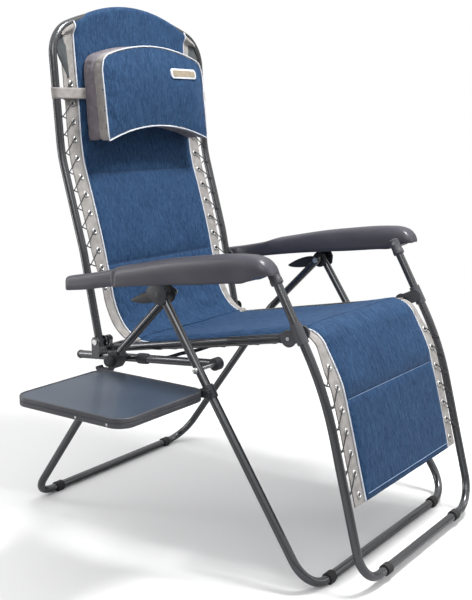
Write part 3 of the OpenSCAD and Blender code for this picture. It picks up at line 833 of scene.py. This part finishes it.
def pillow_outline(inset=0.0):
    """Arched top, hollow bottom and rounded corners of the front face, as (x, z)."""
    w = PILLOW_HALF - inset
    points = [(x, 903 + inset + 34 * (1 - (x / w) ** 2)) for x in np.linspace(-w, w, 60)]
    corner = 26
    top = []
    for x in np.linspace(w, -w, 70):
        gap = max(0.0, abs(x) - (w - corner))
        drop = (corner - math.sqrt(max(0.0, corner ** 2 - gap ** 2))) * 0.9
        top.append((x, 1094 - inset + 34 * (1 - (x / w) ** 2) - drop))
    sides = [(w + 1.5, z) for z in np.linspace(912, 1064, 20)]
    return np.array(points + sides + top + [(-x, z) for x, z in sides[::-1]])


def pillow_ring(share, inset):
    """Outline carried back by a share of the depth."""
    flat = pillow_outline(inset)
    front, back = pillow_planes(flat[:, 1])
    return np.c_[flat[:, 0], front + (back - front) * share, flat[:, 1]]


def pillow_measures(mesh):
    """For each vertex: its place, its share of the depth, and its distance from the outline."""
    co = np.array([v.co for v in mesh.vertices]) - ORIGIN
    front, back = pillow_planes(co[:, 2] / MM)
    gap = np.sqrt(((co[:, None, [0, 2]] / MM - pillow_outline()[None]) ** 2).sum(2)).min(1)
    return co, (co[:, 1] / MM - front) / (back - front), gap


def inflate(piece, held, pressure, frames=20, limit=14 * MM):
    """Cloth run under pressure with the held vertices pinned; movement is capped."""
    start = np.array([v.co for v in piece.data.vertices])
    piece.vertex_groups.new(name="held").add([int(i) for i in held], 1.0, "REPLACE")
    cloth = piece.modifiers.new("cloth", "CLOTH")
    for key, value in dict(quality=4, mass=0.15, tension_stiffness=12, compression_stiffness=12,
                           bending_stiffness=0.6, use_pressure=True, uniform_pressure_force=pressure,
                           shrink_min=-0.01, vertex_group_mass="held").items():
        setattr(cloth.settings, key, value)
    cloth.settings.effector_weights.gravity = 0
    cloth.collision_settings.use_collision = False
    scene = bpy.context.scene
    for frame_number in range(1, frames + 1):
        scene.frame_set(frame_number)
    ready = piece.evaluated_get(bpy.context.evaluated_depsgraph_get())
    moved = np.array([v.co for v in ready.data.vertices]) - start
    piece.modifiers.clear()
    moved *= np.minimum(1, limit / np.maximum(np.linalg.norm(moved, axis=1), 1e-9))[:, None]
    for vert, settled in zip(piece.data.vertices, start + moved):
        vert.co = settled
    piece.vertex_groups.clear()
    scene.frame_set(1)


def build_pillow():
    rings = [pillow_ring(*ring) for ring in ((0.0, 0.0), (0.2, -2.0), (0.36, -1.5), (CORNER_DEPTH, 4.0),
                                             (0.54, -1.5), (0.8, -2.0), (1.0, 3.0))]
    body = loft("head_cushion", rings, TAUPE)
    body.data.remesh_voxel_size = 5 * MM
    bpy.context.view_layer.objects.active = body
    body.select_set(True)
    bpy.ops.object.voxel_remesh()
    _, depth, gap = pillow_measures(body.data)
    inflate(body, np.where((depth > 0.97) | ((depth < 0.07) & (gap < 5))
                           | ((np.abs(depth - CORNER_DEPTH) < 0.05) & (gap < 12)))[0], 2.2)
    body.modifiers.new("finer", "SUBSURF").levels = 1
    mesh = bpy.data.meshes.new_from_object(body.evaluated_get(bpy.context.evaluated_depsgraph_get()))
    body.modifiers.clear()
    body.data = mesh
    mesh.shade_smooth()
    co, depth, gap = pillow_measures(mesh)
    lay_cloth(body, np.c_[co[:, 0], co[:, 2], 0 * co[:, 0]])
    mesh.materials.clear()
    for material in (BLUE, TAUPE, PALE_STRAP_AND_LIT_SIDE):
        mesh.materials.append(material)
    for face in mesh.polygons:
        rows = list(face.vertices)
        share = depth[rows].mean()
        blue = share < 0.0 or (share < 0.06 and (gap[rows] > 3.5).any())
        # painted light: faces ahead of CORNER_DEPTH take the pale cloth, those behind it the taupe
        face.material_index = 0 if blue else 2 if share < CORNER_DEPTH else 1
    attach(body, "pillow")
    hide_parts("head_pillow")
    cords = []
    for name, share, inset, spacing, radius, material in (
            ("cushion_piping", -0.01, -1.0, 4, 1.7, PIPING),
            ("cushion_rear_seam", 0.88, -1.2, 5, 1.3, TAUPE)):
        line = catmull(pillow_ring(share, inset) * MM, spacing * MM)[:-1]
        cords.append(sweep(name, line, radius * MM, material, 8, True))
    seams = place("cushion_seams", cords, "pillow", "grey_fabric")
    badge = place("badge", [badge_patch(body, "badge_border", 52, 12.5, -1.0, 3.6, PIPING),
                            badge_patch(body, "badge_middle", 46, 8.0, 0.5, 4.4, BEIGE)],
                  "pillow", "taupe_fabric", "pillow_badge")
    for piece in (body, seams, badge):
        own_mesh(piece)


def surface_y(piece, x, z):
    """Front surface of the pillow at (x, z), found by a ray from the sitter's side; millimetres."""
    start = Vector((x * MM, -1.0, z * MM)) + Vector(ORIGIN)
    hit, spot, _, _ = piece.ray_cast(start, Vector((0, 1, 0)))
    return (spot.y - ORIGIN[1]) / MM if hit else 235.0


def badge_patch(piece, name, half_w, half_h, low, high, material):
    """Rounded patch that follows the pillow's front."""
    curve, mid_x, mid_z = half_h * 0.75, 100, 1066
    outline = rounded_outline(-half_w, half_w, -half_h, half_h, curve, 8)
    rings = []
    for height, shrink in ((low, 1.0), (high - 0.4, 1.0), (high, 0.965), (high, 0.6), (high, 0.2)):
        spots = outline * shrink + (mid_x, mid_z)
        rings.append(np.array([(x, surface_y(piece, x, z) - height, z) for x, z in spots]))
    return loft(name, rings, material)


def build_strap():
    """Pale band from the pillow's ends round both tubes and across behind the back."""
    level, tube_y = 1012.0, 319.9
    reach = TUBE_R / MM + 1.2
    ends = []
    for side in SIDES:
        path = [(side * x, tube_y - gap) for x, gap in ((176, 14), (200, 13.2), (240, 12.4), (262, 11.6))]
        path += [(side * (SIDE_LANE + reach * math.cos(a)), tube_y + reach * math.sin(a))
                 for a in np.radians(np.linspace(-80, 80, 13))]
        path += [(side * x, tube_y + gap) for x, gap in ((262, 11.4), (200, 12.5), (100, 13.5))]
        ends.append(path if side < 0 else path[::-1])
    plan = catmull(np.array(ends[0] + [(0, tube_y + 14)] + ends[1]), 5)
    along = unit_rows(np.gradient(plan, axis=0))
    out = np.c_[along[:, 1], -along[:, 0], np.zeros(len(plan))]
    middle = []
    for j, height in enumerate(np.linspace(-13, 13, 7)):
        ripple = lattice_noise(np.arange(len(plan)) / 5.0, np.full(len(plan), 3.0 + j * 0.3), 41) * 0.5
        flat = np.c_[plan, np.full(len(plan), level)]
        middle.append(flat + out * ripple[:, None] + (0, 0.077 * height, height))
    strap = sheet("neck_strap", np.stack(middle, 1), 0.8 * out[:, None], PALE_STRAP_AND_LIT_SIDE)
    place("neck_strap", [strap], "pillow", "taupe_fabric", "pillow_strap")


build_pillow()
build_strap()

# ---------------------------------------------------------------- armrests

ARM_TOP = [(258, 594), (196, 605), (130, 619), (94, 629), (27, 643), (-60, 660), (-133, 671), (-200, 680),
           (-250, 684), (-276, 684), (-298, 679), (-312, 668), (-319, 655)]
ARM_LOW = [(258, 561), (190, 570), (120, 583), (30, 597), (-66, 609), (-140, 617), (-226, 628), (-258, 631),
           (-276, 637), (-292, 645), (-306, 649), (-319, 650)]
ARM_IN, ARM_BAR_OUT, ARM_OUT = 288.0, 327.0, 352.0


def curve_at(points, y):
    line = catmull(np.array(points) * MM, 2 * MM) / MM
    return np.interp(-y, -line[:, 0], line[:, 1])


def arm_ring(y, side):
    """Cross-section of the armrest at y: a soft-topped box, open underneath along its channel."""
    top, low = curve_at(ARM_TOP, y), curve_at(ARM_LOW, y)
    pad = smoothstep((112 - y) / 34.0)
    outer = ARM_BAR_OUT + (ARM_OUT - ARM_BAR_OUT) * pad
    nose = np.clip((-264 - y) / 55.0, 0, 1)
    pinch = 1 - math.sqrt(max(0.0, 1 - nose ** 2.4))
    tail = np.clip((y - 250) / 8.0, 0, 1)
    half = (outer - ARM_IN) / 2 * (1 - 0.62 * pinch) * (1 - 0.12 * tail ** 2)
    centre = (outer + ARM_IN) / 2 - 6 * pinch
    top += (3.0 * pad - 1.5 * tail ** 2) * (1 - pinch)
    low += 1.5 * tail ** 2
    power = 2.0 / (4.6 - 1.7 * pad)
    open_share = smoothstep((52 - y) / 16.0) * smoothstep((y + 245) / 20.0)
    channel = 0.8 + open_share * max(0.0, top - low - 15.0)
    base = low + 2.2
    points = [(-half + 1.6, low), (-half, base)]
    for a in np.radians(np.linspace(176, 4, 27)):
        points.append((half * np.sign(math.cos(a)) * abs(math.cos(a)) ** power,
                       base + (top - base) * math.sin(a) ** power))
    wall = 3.2
    under = [(half - wall, low + 0.3), (half - wall, low + channel * 0.85), (half - wall - 3, low + channel)]
    points += [(half, base), (half - 1.6, low), *under, *[(-x, z) for x, z in under[::-1]]]
    return np.array([(side * (centre + x), y, z) for x, z in points])


def build_armrests():
    stations = np.r_[np.linspace(258, 250, 5), np.linspace(246, 116, 24), np.linspace(112, 74, 18),
                     np.linspace(70, -260, 60), np.linspace(-264, -310, 24), np.linspace(-311.5, -319, 10)]
    for side, node in ((1, "armrest_left"), (-1, "armrest_right")):
        rest = loft(node + "_pad", [arm_ring(y, side) for y in stations], ARM_PLASTIC, 50)
        rear_pin_boss = lathe("boss", 232, 578, side * 287.5, [(-3.5, 9), (-3.2, 11.5), (0, 12.5), (2, 12.5)],
                              ARM_PLASTIC)
        place(node + "_moulding", [rest, rear_pin_boss], "armrests", "arm_plastic", node)


def build_collars():
    """Plastic sleeves on the tops of the leg rest tubes, under the armrest noses."""
    collar = [(-5, 4.0), (-4, 9.0), (-1, 12.6), (8, 13.0), (24, 12.6), (26, 13.6), (34, 13.6), (36, 12.4),
              (37, 9.7)]
    collars = []
    for side in SIDES:
        run = unit(REST_BEND - REST_TOP)
        collars.append(sleeve_along("collar", side * SIDE_LANE, REST_TOP, run, collar, DARK_PLASTIC, 36))
        collars.append(dome_bolt("pin_cap", -287, 650, side * 268, 2.9, 6))
    place("armrest_sleeves", collars, "legrest", "black_plastic", "armrest_collars")


build_armrests()
build_collars()

# ---------------------------------------------------------------- side table

TABLE_X1, TABLE_X0 = -353.5, -617.5
TABLE_Y0, TABLE_Y1 = -180.0, 122.0
TABLE_Z = 400.0


def table_ring(inset, z):
    """The table's rounded outline, drawn in by inset, at height z."""
    flat = rounded_outline(TABLE_X0 + inset, TABLE_X1 - inset, TABLE_Y0 + inset, TABLE_Y1 - inset,
                           max(2.0, 36.0 - inset), 18)
    return np.c_[flat, np.full(len(flat), z)]


def build_table():
    rim = [(5.2, -0.6), (4.6, 0.5), (3.2, 1.1), (1.6, 0.9), (0.5, 0.1), (0, -1.4), (0, -7.6), (1.1, -8.3),
           (1.1, -9.4), (0, -10.1), (0, -17.6), (0.8, -19.2), (2.4, -20), (5.4, -20), (6, -19), (6, -4.5),
           (5.2, -3.6)]
    edge = skin("edge_band", [table_ring(inset, TABLE_Z + dz) * MM for inset, dz in rim], DARK_PLASTIC, True)
    place("table_edge", [sharpen(edge, 30)], "side_table", "black_plastic", "table_rim")
    tray = [(40, -4.2), (5.0, -4.2), (4.9, -1.4), (5.6, -0.4), (7, -0.1), (12, 0), (40, 0)]
    top = loft("tray", [table_ring(inset, TABLE_Z + dz) for inset, dz in tray], LAMINATE, 30)
    place("table_tray", [top], "side_table", "table_laminate", "table_top")
    ribs = [sweep("rib", np.array([(x, y, TABLE_Z - 9) for x in (TABLE_X0 + 16, TABLE_X1 - 16)]) * MM, 4 * MM,
                  BLACK_PLASTIC, 12) for y in (-120, -30, 60)]
    place("table_ribs", ribs, "side_table", "black_plastic")
    # front clamp: a jaw round the front leg, joined to the edge band
    leg = unit(np.array(LOCK_PIVOT) - FRONT_FOOT)
    middle = FRONT_FOOT + leg * (390 - FRONT_FOOT[1]) / leg[1]
    shell = [(-15, 11.5), (-14, 13.2), (-8, 13.6), (8, 13.6), (14, 13.2), (15, 11.5)]
    neck = [(-11, 382), (15, 382), (19, 388), (19, 397), (14, 399), (-9, 399), (-13, 395), (-13, 385)]
    jaw = [sleeve_along("jaw", -336, middle, leg, shell, BLACK_PLASTIC, 32),
           blade("neck", [(middle[0] + dy, z) for dy, z in neck], -346, -358, BLACK_PLASTIC, 1.0),
           dome_bolt("jaw_screw", middle[0] - 2, 390, -349, 3.0, 4.2)]
    place("front_clamp", jaw, "side_table", "black_plastic", "table_front_clamp")
    hook = [(106, 394), (111, 391), (136, 391), (142, 396), (142, 402), (138, 402), (136, 398), (112, 397),
            (108, 399)]
    plate = [(84, 381), (121, 381), (121, 398), (84, 398)]
    place("rear_hook", [blade("hook", hook, -332, -352.5, BLACK_PLASTIC, 0.8),
                        blade("hook_plate", plate, -350.5, -354.5, BLACK_PLASTIC, 0.8)],
          "side_table", "black_plastic", "table_rear_hook")
    head = [(-2, 2.6), (0.4, 2.6), (0.9, 1.8), (0.9, 0.8), (0.3, 0.7)]
    screws = [lathe("screw", y, TABLE_Z - 14, TABLE_X0 - 0.2, head, ZINC, 20) for y in (-140, -58)]
    place("edge_screws", screws, "side_table", "zinc_steel")


build_table()

# ---------------------------------------------------------------- eyelets and elastic lacing

EYELET_X = 226.0
# side-view lines of the tubes that the cords reach for, and the tubes' lanes
BACK_TUBE = [(200, 424), (247, 650), (309, 870), (326.4, 1096)]
LEG_TUBE = [tuple(REST_TOP), tuple(REST_BEND), (-511, 25)]
SEAT_TUBE, SEAT_RAIL_LANE = [(205, 415), (-316, 510)], 245


def tube_near(tube, point):
    """Closest point on a tube's side-view centre line, and the tube's direction there; millimetres."""
    spots = []
    for a, b in zip(np.array(tube[:-1], float), np.array(tube[1:], float)):
        along = unit(b - a)
        spot = a + along * np.clip((point - a) @ along, 0, np.linalg.norm(b - a))
        spots.append((np.linalg.norm(spot - point), spot, along))
    return min(spots, key=lambda found: found[0])[1:]


def lace_run(stations, tube, lane, side):
    """Grommets along one tape and the cord that runs between them and the tube."""
    grommets, cords, cord = [], [], []
    gap = np.diff(stations).mean()
    for k, s in enumerate(stations):
        point, normal = on_path(s)
        eye = point / MM + normal * float(sag_at(EYELET_X * MM, s)) / MM
        along = np.array((normal[1], -normal[0]))
        circle = [(side * (EYELET_X + 5.6 * math.cos(a)), *(eye + normal * 2.4 + along * 5.6 * math.sin(a)))
                  for a in np.linspace(0, 2 * math.pi, 21)[:-1]]
        grommets.append(sweep("grommet", np.array(circle) * MM, 1.9 * MM, ZINC, 8, True))
        hole = [(side * EYELET_X, *(eye + normal * h)) for h in (1.2, 2.0, 2.4)]
        cords.append(sweep("eyelet_hole", np.array(hole) * MM, [3.9 * MM, 3.9 * MM, 3.6 * MM], ELASTIC, 14))
        through = ((1, -3.0), (0, 1.0), (3.5, 4.6))
        cord += [(side * (EYELET_X + out), *(eye + normal * h)) for out, h in through]
        if k == len(stations) - 1:
            break
        spot, direction = tube_near(tube, on_path(s + gap * 0.62)[0] / MM)
        face = np.array((-direction[1], direction[0]))
        face *= 1 if face @ normal > 0 else -1
        wrap = TUBE_R / MM + 0.9
        for angle, drop in ((130, -0.1), (180, 0.0), (230, 0.1)):
            a = math.radians(angle)
            at = spot + direction * np.sign(direction @ along) * gap / MM * drop
            cord.append((side * (lane + wrap * math.cos(a)), *(at + face * wrap * math.sin(a))))
    cords.append(sweep("cord", catmull(np.array(cord) * MM, 3.0 * MM), 1.35 * MM, ELASTIC, 7))
    return grommets, cords


def eyelets_at(line, lowest, count):
    """Distances along the sling of eyelets 43 mm apart in height up one of its lines."""
    heights = [lowest + 0.043 * i for i in range(count)]
    return np.sort([nearest(np.interp(z, line[::-1, 1], line[::-1, 0]), z) for z in heights])


def build_lacing():
    for body, stations, tube, lane in (
            ("back", eyelets_at(back_line, 0.560, 12), BACK_TUBE, SIDE_LANE),
            ("legrest", eyelets_at(leg_line, 0.196, 7), LEG_TUBE, SIDE_LANE),
            ("seat", np.linspace(S_SEAT_SEAM + 0.015, S_KNEE_REAR - 0.03, 9), SEAT_TUBE, SEAT_RAIL_LANE)):
        left, right = (lace_run(stations, tube, lane, side) for side in SIDES)
        # the CAD model laces the back and the leg rest only
        eyelets, lacing = ((), ()) if body == "seat" else ((body + "_eyelets",), (body + "_lacing",))
        place(body + "_grommets", left[0] + right[0], body, "zinc_steel", *eyelets)
        place(body + "_elastic", left[1] + right[1], body, "elastic_cord", *lacing)


def build_gussets():
    """Dark lining flaps between the side tapes and the tubes, under the top corners."""
    flaps = []
    for side in SIDES:
        middle = []
        for t in np.linspace(0, 1, 22):
            z = 1166 - 118 * t
            tube_x = 264 - 2 * t if z < 1110 else 194 + math.sqrt(max(0, 80 ** 2 - (z - 1096) ** 2)) - 8
            reach = (tube_x - 232) * (1 - smoothstep((t - 0.45) / 0.55) * 0.85)
            middle.append([(side * (230 + (reach + 2) * share),
                            308 + 0.077 * (z - 870) + 1.2 * math.sin(5 * t + 3 * share), z)
                           for share in np.linspace(0, 1, 7)])
        flaps.append(sheet("flap", np.array(middle), (0, -0.7, 0), LINING))
    place("corner_linings", flaps, "back", "blue_fabric")


build_lacing()
build_gussets()

# ---------------------------------------------------------------- lock, links and pivots


def lock_hub(side):
    """Stepped black hub between the two legs, with its shield and spring pin."""
    hub = lathe("hub", *LOCK_PIVOT, side * 314.3,
                [(0, 12), (0, 19), (0.8, 20.5), (3.0, 20.5), (3.4, 18.5), (3.5, 12)], BLACK_PLASTIC, 48)
    shield = [(-66, 592), (-60, 604), (-46, 609), (-26, 606), (-14, 598), (-10, 588), (-18, 578), (-34, 566),
              (-52, 562), (-64, 572)]
    plate = blade("shield", shield, side * 347.6, side * 350.2, BLACK_PLASTIC, 0.8)
    cap = lathe("cap", *LOCK_PIVOT, side * 346, [(0, 9), (3.2, 9), (4.6, 8.2), (5.4, 6.0), (5.6, 3.0)],
                BLACK_PLASTIC, 32)
    pin = lathe("pivot", *LEVER_PIVOT, side * 317.6, [(0, 3), (6.0, 3), (6.4, 2.4)], ZINC, 20)
    return [hub, plate, cap, pin]


def leaf_lever(side):
    """Grip of the lock: a leaf that points rearwards, thick at the hub and thin at the tip."""
    spine = [(-33, 581.5), (-26, 580), (-14, 577), (2, 573), (20, 568), (38, 563), (50, 560), (57, 559)]
    width = [7.0, 10.5, 13.0, 13.5, 12.0, 8.5, 5.0, 2.0]
    thick = [3.6, 3.6, 3.4, 3.2, 2.9, 2.4, 2.0, 1.2]
    line = catmull(np.c_[spine, width, thick] * MM, 2.5 * MM) / MM
    rings = []
    for row, ahead in zip(line, np.gradient(line[:, :2], axis=0)):
        ahead = unit(ahead)
        up = np.array((-ahead[1], ahead[0]))
        ring = []
        for a in np.linspace(0, 2 * math.pi, 25)[:-1]:
            edge = math.copysign(abs(math.cos(a)) ** 0.8, math.cos(a))
            x = 321.2 + row[3] * math.sin(a) * (1 - 0.25 * abs(math.cos(a)))
            ring.append((side * x, *(row[:2] + up * row[2] * edge)))
        rings.append(np.array(ring))
    return loft("leaf", rings, BLACK_PLASTIC, 60)


def build_lock():
    place("lock_hubs", lock_hub(-1) + lock_hub(1), "lock", "black_plastic", "lock_housings")
    for side, node in ((1, "lever_left"), (-1, "lever_right")):
        place(node + "_grip", [leaf_lever(side)], "lever_" + node[6], "black_plastic", node)


def build_link_ends():
    """Round black knobs at the front ends of the links and domed plugs at the rear."""
    knob = [(0, 8), (0.6, 12.5), (2, 14), (19, 14), (20.4, 12.5), (21, 8)]
    face = [(-3.4, 5), (-3.2, 8.5), (0, 9.5), (1, 9.5)]
    plug = [(-6, 7.6), (0, 9.5), (1, 10.3), (3.5, 10.3), (6.5, 9.4), (9.5, 7.0), (11, 3.0)]
    caps = []
    for side in SIDES:
        caps += [lathe("knob", *LINK_FRONT, side * 263.5, knob, BLACK_PLASTIC, 44),
                 lathe("knob_face", *LINK_FRONT, side * 262.4, face, BLACK_PLASTIC, 32),
                 sleeve_along("plug", side * SIDE_LANE, LINK_REAR, ALONG_LINK, plug, BLACK_PLASTIC, 32, 35)]
    place("link_caps", caps, "links", "black_plastic", "link_end_caps")


def build_leg_strap():
    """Webbing slung between the links with a moulded clip at each end."""
    middle = LINK_FRONT + (LINK_REAR - LINK_FRONT) * (66 - LINK_FRONT[0]) / (LINK_REAR - LINK_FRONT)[0]
    x, w = np.meshgrid(np.linspace(-262, 262, 90), np.linspace(-11, 11, 7), indexing="ij")
    height = middle[1] - 10 - 9 * (1 - (x / 262) ** 2) + 0.8 * np.sin(x / 17.0 + w / 5.0)
    webbing = np.stack([x, middle[0] + w + 1.2 * np.sin(x / 31.0), height], -1)
    parts = [sheet("webbing", webbing, (0, 0, 0.9), BLACK_TAPE)]
    clip = [(-14, 10.2), (-13, 12.0), (-4, 12.6), (4, 12.6), (13, 12.0), (14, 10.2)]
    for side in SIDES:
        parts.append(sleeve_along("clip", side * SIDE_LANE, middle, ALONG_LINK, clip, BLACK_PLASTIC, 30))
    place("link_webbing", parts, "links", "taupe_fabric", "leg_strap")


def build_bolt_heads():
    """Domed heads and caps over the visible ends of the pivots."""
    heads = [dome_bolt("head", *LINK_FRONT, side * 349, 3.0, 6.5) for side in SIDES]
    place("link_bolt_heads", heads, "front_legs", "zinc_steel")
    ring = [(0, 7), (0, 10.4), (1.4, 10.0), (1.8, 8.0), (1.4, 5.0)]
    faces = [lathe("boss_ring", 125, 411, side * 331, ring, BLACK_PLASTIC, 36) for side in SIDES]
    place("knuckle_faces", faces, "rear_legs", "black_plastic")
    disc = [(0.6, 8), (0.9, 17.5), (2.0, 18.4), (4.4, 18.4), (5.2, 17.2), (5.4, 8)]
    discs = [lathe("disc", -316, 510, side * 256, disc, DARK_PLASTIC, 44) for side in SIDES]
    place("knee_discs", discs, "legrest", "black_plastic")


build_lock()
build_link_ends()
build_leg_strap()
build_bolt_heads()

# ---------------------------------------------------------------- studio


def build_studio():
    corners = [(-9, -9, 0), (9, -9, 0), (9, 9, 0), (-9, 9, 0)]
    make_piece("studio_floor", corners, [(0, 1, 2, 3)], floor_paint())
    world = bpy.data.worlds.new("studio")
    bpy.context.scene.world = world
    world.use_nodes = True
    tree = world.node_tree
    height = add(tree, "SeparateXYZ", Vector=add(tree, "TexCoord").outputs["Generated"])
    level = ranged(tree, height.outputs["Z"], 0.5, 1.0)
    greys = [(0.0, 0.36), (0.5, 0.22), (0.6, 0.42), (0.85, 0.95)]
    tone = ramp(tree, level, [(position, (grey,) * 3) for position, grey in greys])
    sky = feed(tree, tree.nodes["Background"], Color=tone)
    white = add(tree, "Background", Color=(1, 1, 1, 1), Strength=1.0)
    seen = add(tree, "LightPath").outputs["Is Camera Ray"]
    feed(tree, tree.nodes["World Output"],
         Surface=mixed(tree, seen, sky.outputs["Background"], white.outputs["Background"]))
    for name, spot, energy, size in (
            ("key", (0.35, -0.85, 2.85), 70, (0.6, 0.6)), ("fill", (-1.9, -1.3, 2.1), 12, (1.2, 1.2)),
            ("strip_rear", (-1.3, 1.9, 1.1), 16, (0.35, 2.2)),
            ("strip_front", (1.7, -1.9, 1.0), 5, (0.35, 2.2))):
        light = bpy.data.lights.new(name, "AREA")
        light.shape = "RECTANGLE"
        light.energy = energy
        light.size, light.size_y = size
        lamp = bpy.data.objects.new(name, light)
        bpy.context.scene.collection.objects.link(lamp)
        lamp.location = spot
        lamp.rotation_euler = (Vector((0, 0.1, 0.6)) - lamp.location).to_track_quat("-Z", "Y").to_euler()
    bpy.context.scene.view_settings.view_transform = "Standard"


def build_camera():
    camera = bpy.data.cameras.new("camera")
    camera.lens = 58.7
    camera.sensor_width = 36
    shot = bpy.data.objects.new("camera", camera)
    bpy.context.scene.collection.objects.link(shot)
    heading, pitch = math.radians(35.73), math.radians(-10.61)
    shot.location = Vector((-1.913, -1.373, 0.958)) + Vector(ORIGIN)
    look = Vector((math.cos(heading) * math.cos(pitch), math.sin(heading) * math.cos(pitch), math.sin(pitch)))
    shot.rotation_euler = look.to_track_quat("-Z", "Y").to_euler()
    bpy.context.scene.camera = shot


build_studio()
build_camera()
